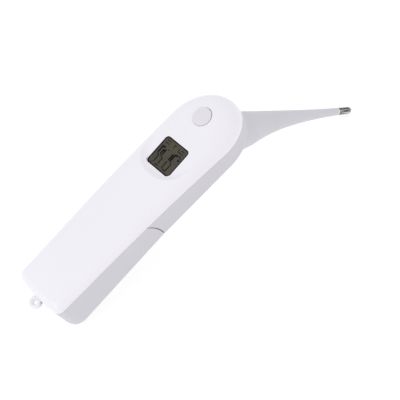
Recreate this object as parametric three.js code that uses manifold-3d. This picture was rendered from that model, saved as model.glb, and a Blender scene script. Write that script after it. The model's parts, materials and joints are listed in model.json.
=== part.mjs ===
// Digital thermometer with a goose-neck probe: a long handle with a display and one button on its
// front, a deep rear housing with a battery cover, and a horn-shaped neck that leaves the back of
// the head and ends in a metal sensing tip.
// Millimetres. The handle frame has X from the tail to the head, Y across, and +Z out of the front
// face, with Z = 0 at the parting line of the tail. The whole object is then pitched about Y, so
// that it rests on the back edge of the tail and on the metal tip, as it lies on a table.
import * as THREE from "three";
import { mergeVertices } from "three/addons/utils/BufferGeometryUtils.js";
import Module from "manifold-3d";

const wasm = await Module();
wasm.setup();

// Handle, in plan
const HANDLE_LENGTH = 137.6;
const TAIL_HALF_WIDTH = 17.3;
const TAIL_CORNER = 4.3;
const LEAST_CORNER = 2.4;
const LEAST_CORNER_SHARE = 0.3;
const TAIL_END = -0.8;
const TAIL_BOW = 0.8;
const HEAD_CENTRE = 113.5;
const HEAD_HALF_WIDTH = 20.35;
const HEAD_REACH = HANDLE_LENGTH - HEAD_CENTRE;

// Handle, from the side
const FACE_HEIGHT = 4.4;
const PARTING_BEND_START = 32;
const PARTING_BEND = 5.2e-4;
const BACK_BEND = 63;
const DEPTH_TAIL = 21.8;
const DEPTH_HEAD = 17.2;
const BACK_FILLET = 4;
const WALL = 2;
const PARTING_GAP = 0.3;

// Rolled edge of the front cover, narrow on the handle and broad on the head
const ROLL_TAIL = 7.1;
const ROLL_HEAD = 12.2;
const ROLL_START = 62;
const ROLL_END = 122;

// Scooped flat that carries the display and the button
const DISPLAY_X = 93.7;
const DISPLAY_Z = 2.48;
const DISPLAY_SLOPE = THREE.MathUtils.degToRad(3.78);
const SCOOP_CENTRE = 101.6;
const SCOOP_RADIUS = 21.2;
const SCOOP_RAMP = 5.2;
const SCOOP_LIP = 2.9;

// Display and button, in the frame of the scooped flat
const WINDOW_SIDE = 17;
const WINDOW_CORNER = 2;
const LENS_THICKNESS = 1.2;
const LENS_CLEARANCE = 0.2;
const LENS_DROP = 0.05;
const PANEL_HALF = 9.2;
const PANEL_LEDGE = 1.2;
const PANEL_THICKNESS = 2.2;
const PANEL_TOP = -WALL - 0.5;
const PANEL_RISE_HALF = 7;
const PANEL_RISE_TOP = -LENS_THICKNESS - 0.35;
const FRAME_CLEARANCE = 0.3;
const FRAME_WALL = 1.7;
const STRIP_HALF_WIDTH = 0.9;
const STRIP_HALF_LENGTH = 8.4;
const STRIP_TAIL_X = -9.4;
const STRIP_HEAD_X = 8;
const BUTTON_OFFSET = 26.7;
const BUTTON_RADIUS = 5.15;
const BUTTON_HOLE_RADIUS = 5.5;
const BUTTON_STAND = 0.6;
const BUTTON_DOME = 0.2;
const CAP_SKIRT = 3;
const CAP_FLANGE_RADIUS = 6.6;
const CAP_FLANGE_THICKNESS = 0.5;
const CAP_FOOT = -3.6;
const CAP_FOOT_RADIUS = 1.4;

// Circuit board and what it carries, in the same frame
const BOARD_TOP = -5.6;
const BOARD_THICKNESS = 1.2;
const BOARD_TAIL = -28;
const BOARD_HEAD = 22;
const BOARD_HALF_WIDTH = 12.5;
const BOARD_NOTCH_X = -22;
const BOARD_NOTCH_Y = 14;
const BOARD_NOTCH_RADIUS = 4.6;
const SEATING_GAP = 0.1;
const CHIP_X = -2;
const CHIP_PROFILE = [
  [0, -1.6],
  [2.6, -1.3],
  [4.2, -0.7],
  [4.6, 0],
  [0, 0],
];
const BUZZER_X = 14;
const BUZZER_RADIUS = 6;
const BUZZER_HEIGHT = 2.6;
const BUZZER_PORT_RADIUS = 1.2;
const BUZZER_PORT_DEPTH = 0.8;
const SWITCH_HALF = 3;
const SWITCH_HEIGHT = 1.3;
const SWITCH_BORE_RADIUS = 1.9;
const SWITCH_BORE_FLOOR = 0.5;
const PLUNGER_RADIUS = 1.6;
const PLUNGER_FOOT = 0.9;
const PLUNGER_GAP = 0.4;

// Battery cover and what it covers
const SEAM_CENTRE_X = 42;
const SEAM_CENTRE_Z = -14;
const SEAM_RADIUS = 22.8;
const SEAM_GAP = 0.3;
const NOTCH_CLEARANCE = 0.5;
const TONGUE_REACH = 5;
const TONGUE_ROOT = 3;
const TONGUE_HALF_WIDTH = 2.2;
const TONGUE_TOP = -13.4;
const TONGUE_THICKNESS = 1.4;
const CELL_RADIUS = 5.25;
const CELL_LENGTH = 44.5;
const CELL_NUB = 1;
const CELL_NUB_RADIUS = 1.9;
const CELL_START = 10;
const CELL_Y = 5.6;
const CELL_Z = -9;
const TRAY = { x0: 3.2, x1: 60.8, y: 14.6, z0: -14.6, z1: -1.4, wall: 1.4, reliefStart: 14 };
const TRAY_HOLE_RADIUS = 1.3;
const TRAY_SEAT_RADIUS = 2.35;
const TRAY_SEAT_Z = -6;
const PLATE_THICKNESS = 0.5;
const PLATE_HALF = 4;
const BRIDGE_HALF = 9.4;
const BUMP_RADIUS = 2;
const BUMP_LENGTH = 3.6;
const SPRING_LENGTH = 4;
const SPRING_TURNS = 3.5;
const SPRING_WIDE = 3.4;
const SPRING_NARROW = 1.8;
const SPRING_WIRE = 0.3;
const SPRING_GAP = 0.2;

// Case screws: x, y and lower end of the post that each screw goes into
const POSTS = [
  [7, 12, -1.1],
  [7, -12, -1.1],
  [72, 14, -3.6],
  [72, -14, -3.6],
];
const POST_RADIUS = 2.6;
const POST_TOP = FACE_HEIGHT - WALL + 0.3;
const PILOT_RADIUS = 1.35;
const PILOT_DEPTH = 4;
const REAR_POST_RADIUS = 3.4;
const REAR_POST_TOP = -4.2;
const SCREW_HOLE_RADIUS = 1.4;
const SCREW_SEAT_RADIUS = 2.7;
const SCREW_SEAT_Z = -8;
const SCREW_LENGTH = 7;
const SCREW_RADIUS = 1.15;
const SCREW_HEAD_RADIUS = 2.2;
const SCREW_HEAD_HEIGHT = 1.6;
const SCREW_CROSS = { length: 1.4, width: 0.25, depth: 0.8 };

// Lanyard eye
const EYE_X = -3.9;
const EYE_RADIUS = 3.4;
const EYE_HOLE = 1.95;
const EYE_TOP = -0.4;
const EYE_THICKNESS = 2.8;
const EYE_NECK = 3;

// Horn-shaped neck of the probe
const NECK_X = 135.7;
const NECK_Z = -31.1;
const NECK_ANGLE = THREE.MathUtils.degToRad(40.6);
const NECK_BEND = THREE.MathUtils.degToRad(9.7);
const NECK_BEND_LENGTH = 27;
const NECK_BEND_POWER = 1.3;
const NECK_END_RADIUS = 1;
const NECK_FLARE = 8.3;
const NECK_FLARE_LENGTH = 36.6;
const NECK_WALL = 1.1;
const NECK_LENGTH = 75;
const ROOT_Z = -13;
const ROOT_HEAD_X = 134.4;
const ROOT_TAIL_X = 93;
const ROOT_HALF_WIDTH = 13.5;
const ROOT_HEAD_MID = { x: 136.6, z: -17.4 };
const ROOT_TAIL_MID = { x: 112, z: -28 };
const ROOT_STEPS = 6;
const NECK_STEPS = 14;
const HORN_GAP = 0.3;
const HORN_CUT_LENGTH = 30;

// Sensing tip
const COLLAR_LENGTH = 1;
const COLLAR_RADIUS = 2.05;
const COLLAR_BORE = 0.85;
const TIP_RADIUS = 2.1;
const TIP_LENGTH = 12.1;
const TIP_WALL = 0.35;
const TIP_GAP = 0.15;
const BEAD_RADIUS = 1.1;
const SENSOR_WIRE_RADIUS = 0.25;
const SENSOR_WIRE_SPREAD = 0.9;
const SENSOR_WIRE_SPACING = 0.4;
const SENSOR_ROUTE = [
  [108, 1.6, -6.6],
  [112, 1.4, -12],
  [124, 1, -22],
];
const SUPPLY_WIRE_RADIUS = 0.5;
const SUPPLY_ROUTE = [
  [61.4, 5.6, -7],
  [63.5, 5.6, -7.5],
  [66, 6.5, -9],
  [69, 6.5, -7],
];

const lerp = THREE.MathUtils.lerp;
const clamp = THREE.MathUtils.clamp;
const smooth = THREE.MathUtils.smoothstep;

// Materials
function plastic(color, roughness = 0.45) {
  return new THREE.MeshStandardMaterial({ color, roughness, metalness: 0 });
}
function metal(color, roughness = 0.3) {
  return new THREE.MeshStandardMaterial({ color, roughness, metalness: 1 });
}
const WHITE = plastic(0xf1eff6);
const GREY = plastic(0xcdccd2);
const BUTTON_GREY = plastic(0xe0dfe3, 0.5);
const INNER_GREY = plastic(0xb4b6b8, 0.6);
const LENS_CLEAR = plastic(0x3c3c38, 0.08);
const LCD_OLIVE = plastic(0x5c5950, 0.25);
const RUBBER_BLACK = plastic(0x202022, 0.85);
const BOARD_GREEN = plastic(0x2e6b45, 0.55);
const EPOXY_BLACK = plastic(0x151515, 0.35);
const WIRE_RED = plastic(0xb02a24, 0.5);
const WIRE_BLACK = plastic(0x1c1c1e, 0.5);
const COLLAR_WHITE = plastic(0xe9e8ea, 0.4);
const STEEL = metal(0xbfbdbb, 0.22);
const NICKEL = metal(0xc8c6be, 0.3);
const CELL_JACKET = plastic(0x3d5f88, 0.35);
const CERAMIC = plastic(0x6a4a34, 0.5);

// Solids
function geometryOf(positions, index) {
  const geometry = new THREE.BufferGeometry();
  geometry.setAttribute("position", new THREE.Float32BufferAttribute(positions, 3));
  geometry.setIndex(index);
  return geometry;
}

function signedVolume(rings, index) {
  const points = rings.flat();
  let volume = 0;
  for (let i = 0; i < index.length; i += 3) {
    const [a, b, c] = [points[index[i]], points[index[i + 1]], points[index[i + 2]]];
    volume += a.dot(b.clone().cross(c));
  }
  return volume;
}

// A closed solid through rings of equally many points. Point k of a ring faces point n - k across
// it, so an end is closed by strips between facing points. A looped loft joins its last ring to its
// first instead.
function loft(rings, looped = false) {
  const n = rings[0].length;
  const index = [];
  const last = looped ? rings.length : rings.length - 1;
  for (let j = 0; j < last; j++) {
    const here = j * n;
    const next = ((j + 1) % rings.length) * n;
    for (let i = 0; i < n; i++) {
      const k = (i + 1) % n;
      index.push(here + i, here + k, next + k, here + i, next + k, next + i);
    }
  }
  if (!looped) {
    closeEnd(index, 0, n, false);
    closeEnd(index, (rings.length - 1) * n, n, true);
  }
  if (signedVolume(rings, index) < 0) index.reverse();
  const positions = rings.flat().flatMap((p) => [p.x, p.y, p.z]);
  return geometryOf(positions, index);
}

function closeEnd(index, base, n, forward) {
  for (let i = 0; i < n / 2; i++) {
    const corners = [i, i + 1, n - i - 1, (n - i) % n];
    const [a, b, c, d] = corners.map((corner) => base + corner);
    if (forward) {
      if (b !== c) index.push(a, b, c);
      if (a !== d) index.push(a, c, d);
    } else {
      if (b !== c) index.push(a, c, b);
      if (a !== d) index.push(a, d, c);
    }
  }
}

function toManifold(geometry) {
  const bare = geometry.index ? geometry.toNonIndexed() : geometry.clone();
  for (const name of Object.keys(bare.attributes)) {
    if (name !== "position") bare.deleteAttribute(name);
  }
  const merged = mergeVertices(bare, 1e-4);
  const mesh = new wasm.Mesh({
    numProp: 3,
    vertProperties: merged.attributes.position.array,
    triVerts: new Uint32Array(merged.index.array),
  });
  return new wasm.Manifold(mesh);
}

function fromManifold(solid) {
  const mesh = solid.getMesh();
  return geometryOf(Array.from(mesh.vertProperties), Array.from(mesh.triVerts));
}

function join(first, ...others) {
  let solid = toManifold(first);
  for (const other of others) solid = solid.add(toManifold(other));
  return fromManifold(solid);
}

function cut(first, ...others) {
  let solid = toManifold(first);
  for (const other of others) solid = solid.subtract(toManifold(other));
  return fromManifold(solid);
}

function common(first, second) {
  return fromManifold(toManifold(first).intersect(toManifold(second)));
}

function box(x0, x1, y0, y1, z0, z1) {
  const geometry = new THREE.BoxGeometry(x1 - x0, y1 - y0, z1 - z0);
  return geometry.translate((x0 + x1) / 2, (y0 + y1) / 2, (z0 + z1) / 2);
}

// A round bar along Z from z0 to z1
function bar(x, y, z0, z1, radius, sides = 24) {
  const geometry = new THREE.CylinderGeometry(radius, radius, z1 - z0, sides);
  return geometry.rotateX(Math.PI / 2).translate(x, y, (z0 + z1) / 2);
}

function roundedSquare(side, corner) {
  const half = side / 2;
  const flat = half - corner;
  const shape = new THREE.Shape();
  shape.absarc(flat, flat, corner, 0, Math.PI / 2);
  shape.absarc(-flat, flat, corner, Math.PI / 2, Math.PI);
  shape.absarc(-flat, -flat, corner, Math.PI, 1.5 * Math.PI);
  shape.absarc(flat, -flat, corner, 1.5 * Math.PI, 2 * Math.PI);
  return shape;
}

// A plate of the given outline from z0 to z1
function plate(shape, z0, z1, curveSegments = 6) {
  const settings = { depth: z1 - z0, bevelEnabled: false, curveSegments };
  return new THREE.ExtrudeGeometry(shape, settings).translate(0, 0, z0);
}

function wireAlong(points, radius, sides, steps) {
  const section = new THREE.Shape();
  section.absarc(0, 0, radius, 0, 2 * Math.PI);
  const path = new THREE.CatmullRomCurve3(points);
  const settings = { steps, extrudePath: path, curveSegments: sides };
  return new THREE.ExtrudeGeometry(section, settings);
}

function turned(profile, sides) {
  const points = profile.map(([radius, z]) => new THREE.Vector2(radius, z));
  return new THREE.LatheGeometry(points, sides).rotateX(Math.PI / 2);
}

// Heights of the handle at a place along it
function halfWidth(x) {
  return lerp(TAIL_HALF_WIDTH, HEAD_HALF_WIDTH, clamp(x / HEAD_CENTRE, 0, 1));
}
function partingHeight(x) {
  return -PARTING_BEND * Math.max(x - PARTING_BEND_START, 0) ** 2;
}
function backHeight(x) {
  return -lerp(DEPTH_TAIL, DEPTH_HEAD, clamp(x / BACK_BEND, 0, 1));
}
function rollWidth(x) {
  return lerp(ROLL_TAIL, ROLL_HEAD, smooth(x, ROLL_START, ROLL_END));
}

// The scooped flat: a sloping plane with a lip that climbs to the face along a round edge
function scoopHeight(x, y) {
  const plane = DISPLAY_Z + Math.tan(DISPLAY_SLOPE) * (x - DISPLAY_X);
  const inward = SCOOP_RADIUS - Math.hypot(Math.min(x - SCOOP_CENTRE, 0), y);
  const climb = 1 - clamp(inward / SCOOP_RAMP, 0, 1);
  const outside = inward < 0 ? FACE_HEIGHT : 0;
  return plane + SCOOP_LIP * climb ** 1.4 + outside;
}

// Height of the front cover where the outline is inset by the given distance
function coverHeight(x, y, inset) {
  const rim = partingHeight(x);
  const outward = 1 - clamp(inset / rollWidth(x), 0, 1);
  const rolled = rim + (FACE_HEIGHT - rim) * Math.sqrt(1 - outward ** 2);
  return Math.min(rolled, scoopHeight(x, y));
}

// Outline of the handle, inset by a distance: one half from the tail's middle to the head's middle,
// then the mirrored half back. The bow is how far the tail's middle stands out past its corners.
// The tail's corners keep a least radius as the inset grows.
const BOW_STEPS = 2;
const CORNER_STEPS = 3;
const SIDE_STEPS = 15;
const HEAD_STEPS = 9;

function outline(inset, bow) {
  const least = Math.min(LEAST_CORNER, LEAST_CORNER_SHARE * (TAIL_HALF_WIDTH - inset));
  const radius = Math.max(TAIL_CORNER - inset, least);
  const cornerX = TAIL_END + inset + radius;
  const cornerY = halfWidth(cornerX) - inset - radius;
  const half = [];
  for (let i = 0; i < BOW_STEPS; i++) {
    const share = i / BOW_STEPS;
    half.push([TAIL_END + inset - bow * (1 - share ** 2), -share * cornerY]);
  }
  for (let i = 0; i <= CORNER_STEPS; i++) {
    const angle = (i / CORNER_STEPS) * (Math.PI / 2);
    half.push([cornerX - radius * Math.cos(angle), -cornerY - radius * Math.sin(angle)]);
  }
  for (let i = 1; i < SIDE_STEPS; i++) {
    const x = lerp(cornerX, HEAD_CENTRE, i / SIDE_STEPS);
    half.push([x, inset - halfWidth(x)]);
  }
  for (let i = 0; i < HEAD_STEPS; i++) {
    const angle = (i / HEAD_STEPS) * (Math.PI / 2);
    const x = HEAD_CENTRE + (HEAD_REACH - inset) * Math.sin(angle);
    half.push([x, (inset - HEAD_HALF_WIDTH) * Math.cos(angle)]);
  }
  const mirrored = half.slice(1).reverse().map(([x, y]) => [x, -y]);
  return [...half, [HANDLE_LENGTH - inset, 0], ...mirrored];
}

// One ring of a handle shell: the inset outline, each point at the height that height() gives
function ring(inset, height, bow = TAIL_BOW) {
  return outline(inset, bow).map(([x, y]) => new THREE.Vector3(x, y, height(x, y)));
}

// Rear shell: open at the parting line, with a rounded edge all round its flat back. Its tail end is
// bowed at the parting line and straight at the back, so that the tail rests on a straight edge.
function rearShell() {
  const top = (x) => partingHeight(x) - PARTING_GAP / 2;
  const rings = [];
  const fillet = (radius, wall, steps) => {
    for (let i = 0; i <= steps; i++) {
      const angle = ((steps - i) / steps) * (Math.PI / 2);
      const inset = wall + radius * (1 - Math.cos(angle));
      const rise = wall + radius * (1 - Math.sin(angle));
      rings.push(ring(inset, (x) => backHeight(x) + rise, 0));
    }
  };
  fillet(BACK_FILLET, 0, 4);
  rings.push(ring(0, top));
  rings.push(ring(WALL, top));
  const inner = rings.length;
  fillet(BACK_FILLET - WALL, WALL, 2);
  rings.push(...rings.splice(inner).reverse());
  return loft(rings);
}

// Everything on the tail side of the battery cover's seam, whose end is an arc seen from the side
function seamCutter(offset) {
  const radius = SEAM_RADIUS + offset;
  const shape = new THREE.Shape();
  const reach = Math.sqrt(radius ** 2 - SEAM_CENTRE_Z ** 2);
  const start = Math.atan2(-SEAM_CENTRE_Z, reach);
  shape.moveTo(-40, -60);
  shape.lineTo(SEAM_CENTRE_X + radius - 1.5, -60);
  shape.lineTo(SEAM_CENTRE_X + radius, SEAM_CENTRE_Z - 2);
  shape.absarc(SEAM_CENTRE_X, SEAM_CENTRE_Z, radius, 0, start);
  shape.lineTo(SEAM_CENTRE_X + reach, 20);
  shape.lineTo(-40, 20);
  const settings = { depth: 80, bevelEnabled: false, curveSegments: 12 };
  return new THREE.ExtrudeGeometry(shape, settings).rotateX(Math.PI / 2).translate(0, 40, 0);
}

// Neck centreline: place and heading at a length past the neck's first full round section
const NECK_STEP = 0.5;
const neckLine = [{ x: NECK_X, z: NECK_Z }];
function neckHeading(length) {
  const share = 1 - Math.exp(-((length / NECK_BEND_LENGTH) ** NECK_BEND_POWER));
  return NECK_ANGLE + NECK_BEND * share;
}
for (let length = 0; length < NECK_LENGTH + COLLAR_LENGTH + TIP_LENGTH; length += NECK_STEP) {
  const from = neckLine.at(-1);
  const heading = neckHeading(length + NECK_STEP / 2);
  neckLine.push({
    x: from.x + NECK_STEP * Math.cos(heading),
    z: from.z - NECK_STEP * Math.sin(heading),
  });
}
function neckPoint(length) {
  const step = Math.min(Math.floor(length / NECK_STEP), neckLine.length - 2);
  const share = length / NECK_STEP - step;
  const [from, to] = [neckLine[step], neckLine[step + 1]];
  return new THREE.Vector3(lerp(from.x, to.x, share), 0, lerp(from.z, to.z, share));
}
function neckRadius(length) {
  return NECK_END_RADIUS + NECK_FLARE * Math.exp(-length / NECK_FLARE_LENGTH);
}

// A section of the horn, drawn between its head-side edge and its tail-side edge in the mid plane
const HORN_SIDES = 20;
function hornRing(headSide, tailSide, width, inset) {
  const centre = headSide.clone().add(tailSide).multiplyScalar(0.5);
  const reach = headSide.clone().sub(centre);
  const length = reach.length();
  reach.multiplyScalar((length - inset) / length);
  const points = [];
  for (let i = 0; i < HORN_SIDES; i++) {
    const angle = (i / HORN_SIDES) * 2 * Math.PI;
    const point = centre.clone().addScaledVector(reach, Math.cos(angle));
    point.y = -(width - inset) * Math.sin(angle);
    points.push(point);
  }
  return points;
}

function neckEdges(length) {
  const centre = neckPoint(length);
  const heading = neckHeading(length);
  const out = new THREE.Vector3(Math.sin(heading), 0, Math.cos(heading));
  const radius = neckRadius(length);
  const headSide = centre.clone().addScaledVector(out, radius);
  const tailSide = centre.clone().addScaledVector(out, -radius);
  return [headSide, tailSide];
}

// The rings of the horn, from its root inside the head to the given length along the neck
function hornRings(inset, endLength, steps) {
  const [headSide, tailSide] = neckEdges(0);
  const headRoot = new THREE.Vector3(ROOT_HEAD_X, 0, ROOT_Z);
  const tailRoot = new THREE.Vector3(ROOT_TAIL_X, 0, ROOT_Z);
  const headMid = new THREE.Vector3(ROOT_HEAD_MID.x, 0, ROOT_HEAD_MID.z);
  const tailMid = new THREE.Vector3(ROOT_TAIL_MID.x, 0, ROOT_TAIL_MID.z);
  const headCurve = new THREE.QuadraticBezierCurve3(headRoot, headMid, headSide);
  const tailCurve = new THREE.QuadraticBezierCurve3(tailRoot, tailMid, tailSide);
  const rings = [];
  for (let i = 0; i < ROOT_STEPS; i++) {
    const share = i / ROOT_STEPS;
    const width = lerp(ROOT_HALF_WIDTH, neckRadius(0), smooth(share, -0.1, 1.1));
    rings.push(hornRing(headCurve.getPoint(share), tailCurve.getPoint(share), width, inset));
  }
  for (let i = 0; i <= steps; i++) {
    const length = endLength * (i / steps) ** 1.15;
    const [upper, lower] = neckEdges(length);
    rings.push(hornRing(upper, lower, neckRadius(length), inset));
  }
  return rings;
}

// Front cover: white shell with the window, the button hole, screw posts and the lanyard eye
const OUTER_INSETS = [0, 0.3, 1, 2.2, 4, 6, 8.5, 11, 14, 16.4];
const INNER_INSETS = [2, 3.2, 5, 8, 11, 14, 16.4];

function faceFrame() {
  const group = new THREE.Group();
  group.position.set(DISPLAY_X, 0, DISPLAY_Z);
  group.rotation.y = -DISPLAY_SLOPE;
  group.updateMatrix();
  return group;
}

function onFace(geometry) {
  return geometry.clone().applyMatrix4(faceFrame().matrix);
}

function frontCover() {
  const rim = (x) => partingHeight(x) + PARTING_GAP / 2;
  const rings = [ring(0, rim)];
  for (const inset of OUTER_INSETS.slice(1)) {
    rings.push(ring(inset, (x, y) => coverHeight(x, y, inset)));
  }
  rings.reverse();
  rings.push(ring(WALL, rim));
  for (const inset of INNER_INSETS) {
    rings.push(ring(inset, (x, y) => coverHeight(x, y, inset) - WALL));
  }
  const shell = loft(rings);
  const posts = POSTS.map(([x, y, z]) => bar(x, y, z, POST_TOP, POST_RADIUS, 12));
  const pilots = POSTS.map(([x, y, z]) => bar(x, y, z - 1, z + PILOT_DEPTH, PILOT_RADIUS, 8));
  const eye = bar(EYE_X, 0, EYE_TOP - EYE_THICKNESS, EYE_TOP, EYE_RADIUS, 28);
  const tailWall = TAIL_END - TAIL_BOW;
  const neckSides = [-EYE_NECK / 2, EYE_NECK / 2];
  const neck = box(tailWall - 1, tailWall + WALL, ...neckSides, EYE_TOP - EYE_THICKNESS, EYE_TOP);
  const riser = box(tailWall + 0.3, tailWall + WALL, ...neckSides, EYE_TOP - 1, 1);
  const eyeHole = bar(EYE_X, 0, -5, 5, EYE_HOLE, 20);
  const windowHole = onFace(plate(roundedSquare(WINDOW_SIDE, WINDOW_CORNER), -6, 6));
  const buttonHole = onFace(bar(BUTTON_OFFSET, 0, -6, 6, BUTTON_HOLE_RADIUS, 32));
  const solid = join(shell, ...posts, neck, riser, eye);
  return cut(solid, ...pilots, eyeHole, windowHole, buttonHole);
}

// Rear housing: the head's half of the rear shell, opened where the horn leaves it
function rearHousing() {
  const head = cut(rearShell(), seamCutter(SEAM_GAP / 2));
  const horn = loft(hornRings(-HORN_GAP, HORN_CUT_LENGTH, 4));
  const rear = POSTS.slice(2);
  const foot = 1 - DEPTH_HEAD;
  const posts = rear.map(([x, y]) => bar(x, y, foot, REAR_POST_TOP, REAR_POST_RADIUS, 14));
  const seats = rear.map(([x, y]) => bar(x, y, foot - 2, SCREW_SEAT_Z, SCREW_SEAT_RADIUS, 16));
  const holes = rear.map(([x, y]) => bar(x, y, SCREW_SEAT_Z - 1, 0, SCREW_HOLE_RADIUS, 12));
  return cut(join(head, ...posts), horn, ...seats, ...holes);
}

// Battery cover: the tail's part of the rear shell, with a notch for the lanyard eye and a narrow
// locking tongue, which tucks into the rear housing and slides out between the two cells
function batteryCover() {
  const tail = common(rearShell(), seamCutter(-SEAM_GAP / 2));
  const notchHalf = EYE_RADIUS + NOTCH_CLEARANCE;
  const notchDepth = EYE_TOP - EYE_THICKNESS - NOTCH_CLEARANCE;
  const notch = box(TAIL_END - WALL, WALL + 1, -notchHalf, notchHalf, notchDepth, 2);
  const seamEnd = SEAM_CENTRE_X + SEAM_RADIUS;
  const start = seamEnd - TONGUE_ROOT;
  const sides = [-TONGUE_HALF_WIDTH, TONGUE_HALF_WIDTH];
  const tongueFoot = TONGUE_TOP - TONGUE_THICKNESS;
  const tongue = box(start, seamEnd + TONGUE_REACH, ...sides, tongueFoot, TONGUE_TOP);
  const root = box(start, seamEnd - 2 * SEAM_GAP, ...sides, 1 - DEPTH_HEAD, tongueFoot + 0.5);
  return join(cut(tail, notch), tongue, root);
}

// Battery tray: a box open to the back, screwed to the front cover, with a notch at its head end
// for the battery cover's tongue
function batteryTray() {
  const { x0, x1, y, z0, z1, wall, reliefStart } = TRAY;
  const block = box(x0, x1, -y, y, z0, z1);
  const cellBay = CELL_Y + CELL_RADIUS + 0.5;
  const bay = box(x0 + wall, x1 - wall, -cellBay, cellBay, z0 - 1, z1 - wall);
  const sideRelief = [-1, 1].map((side) => {
    const near = side * (cellBay + wall);
    const far = side * (y + 1);
    return box(reliefStart, x1 + 1, Math.min(near, far), Math.max(near, far), z0 - 1, z1 - wall);
  });
  const slot = TONGUE_HALF_WIDTH + 0.6;
  const tongueSlot = box(x1 - 2 * wall, x1 + 1, -slot, slot, z0 - 1, TONGUE_TOP + 0.4);
  const screws = POSTS.slice(0, 2);
  const holes = screws.map(([x, py]) => bar(x, py, z0 - 1, z1 + 1, TRAY_HOLE_RADIUS, 12));
  const seats = screws.map(([x, py]) => bar(x, py, z0 - 1, TRAY_SEAT_Z, TRAY_SEAT_RADIUS, 14));
  return cut(block, bay, ...sideRelief, tongueSlot, ...holes, ...seats);
}

// A pan-head case screw with its head down and a cross recess
function screw() {
  const shank = [
    [0, 0],
    [SCREW_RADIUS - 0.35, 0],
    [SCREW_RADIUS, 0.5],
    [SCREW_RADIUS, SCREW_LENGTH - SCREW_HEAD_HEIGHT],
    [0.2, SCREW_LENGTH - 0.2],
    [0, SCREW_LENGTH],
  ];
  const head = [
    [0, -SCREW_HEAD_HEIGHT],
    [SCREW_HEAD_RADIUS - 0.6, -SCREW_HEAD_HEIGHT],
    [SCREW_HEAD_RADIUS, 0.7 - SCREW_HEAD_HEIGHT],
    [SCREW_HEAD_RADIUS, 0.2],
    [0, 0.2],
  ];
  const { length, width, depth } = SCREW_CROSS;
  const ends = [-SCREW_HEAD_HEIGHT - 1, depth - SCREW_HEAD_HEIGHT];
  const cross = [
    box(-length, length, -width, width, ...ends),
    box(-width, width, -length, length, ...ends),
  ];
  return cut(join(turned(shank, 10), turned(head, 14)), ...cross);
}

// AAA cell along X with its raised positive end at +X
function cell() {
  const shoulder = CELL_LENGTH - CELL_NUB;
  const profile = [
    [0, 0],
    [CELL_RADIUS - 0.5, 0],
    [CELL_RADIUS, 0.4],
    [CELL_RADIUS, shoulder - 0.5],
    [CELL_RADIUS - 0.5, shoulder],
    [CELL_NUB_RADIUS, shoulder],
    [CELL_NUB_RADIUS - 0.2, CELL_LENGTH],
    [0, CELL_LENGTH],
  ];
  return turned(profile, 24).rotateY(Math.PI / 2);
}

// Conical contact spring along X, wide end at x = 0
function contactSpring() {
  const points = [];
  const samples = 36;
  const inset = SPRING_WIRE + 0.1;
  for (let i = 0; i <= samples; i++) {
    const share = i / samples;
    const angle = share * SPRING_TURNS * 2 * Math.PI;
    const radius = lerp(SPRING_WIDE, SPRING_NARROW, share);
    const x = inset + share * (SPRING_LENGTH - 2 * inset);
    points.push(new THREE.Vector3(x, radius * Math.cos(angle), radius * Math.sin(angle)));
  }
  return wireAlong(points, SPRING_WIRE, 3, 56);
}

// Button cap: a shallow dome on a skirt, with a foot that presses the switch
function buttonCap() {
  const profile = [
    [0, CAP_FOOT],
    [CAP_FOOT_RADIUS, CAP_FOOT],
    [CAP_FOOT_RADIUS, -CAP_SKIRT],
    [CAP_FLANGE_RADIUS, -CAP_SKIRT],
    [CAP_FLANGE_RADIUS, -CAP_SKIRT + CAP_FLANGE_THICKNESS],
    [BUTTON_RADIUS, -CAP_SKIRT + CAP_FLANGE_THICKNESS],
    [BUTTON_RADIUS, BUTTON_STAND - 0.5],
    [BUTTON_RADIUS - 0.4, BUTTON_STAND - 0.1],
    [0.6 * BUTTON_RADIUS, BUTTON_STAND + 0.1],
    [0, BUTTON_STAND + BUTTON_DOME],
  ];
  return turned(profile, 32);
}

// Assembly
const handle = new THREE.Group();
const face = faceFrame();
handle.add(face);

function add(parent, name, geometry, material, place = [0, 0, 0]) {
  const mesh = new THREE.Mesh(geometry, material);
  mesh.name = name;
  mesh.position.set(...place);
  parent.add(mesh);
  return mesh;
}

add(handle, "front_cover", frontCover(), WHITE);
add(handle, "rear_housing", rearHousing(), GREY);
add(handle, "battery_cover", batteryCover(), GREY);

// Display stack and electronics, placed in the frame of the scooped flat
const lensOutline = roundedSquare(WINDOW_SIDE - 2 * LENS_CLEARANCE, WINDOW_CORNER - LENS_CLEARANCE);
const lens = plate(lensOutline, -LENS_THICKNESS - LENS_DROP, -LENS_DROP);
add(face, "display_lens", lens, LENS_CLEAR);

const half = PANEL_HALF;
const ledgeEnd = -half - PANEL_LEDGE;
const panelFoot = PANEL_TOP - PANEL_THICKNESS;
const panel = box(-half, half, -half, half, PANEL_TOP - PANEL_THICKNESS / 2, PANEL_TOP);
const panelBack = box(ledgeEnd, half, -half, half, panelFoot, PANEL_TOP - 1);
const rise = PANEL_RISE_HALF;
const panelRise = box(-rise, rise, -rise, rise, PANEL_TOP - 0.5, PANEL_RISE_TOP);
add(face, "lcd_panel", join(panel, panelBack, panelRise), LCD_OLIVE);

// The panel's outline grown by a distance on every side, as a block between two heights
function panelBlock(grow, z0, z1) {
  return box(ledgeEnd - grow, half + grow, -half - grow, half + grow, z0, z1);
}
const frameGrow = FRAME_CLEARANCE + FRAME_WALL;
const frameOuter = panelBlock(frameGrow, BOARD_TOP + 2 * SEATING_GAP, PANEL_TOP - SEATING_GAP);
const frameInner = panelBlock(FRAME_CLEARANCE, BOARD_TOP - 1, PANEL_TOP + 1);
add(face, "lcd_frame", cut(frameOuter, frameInner), INNER_GREY);

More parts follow.
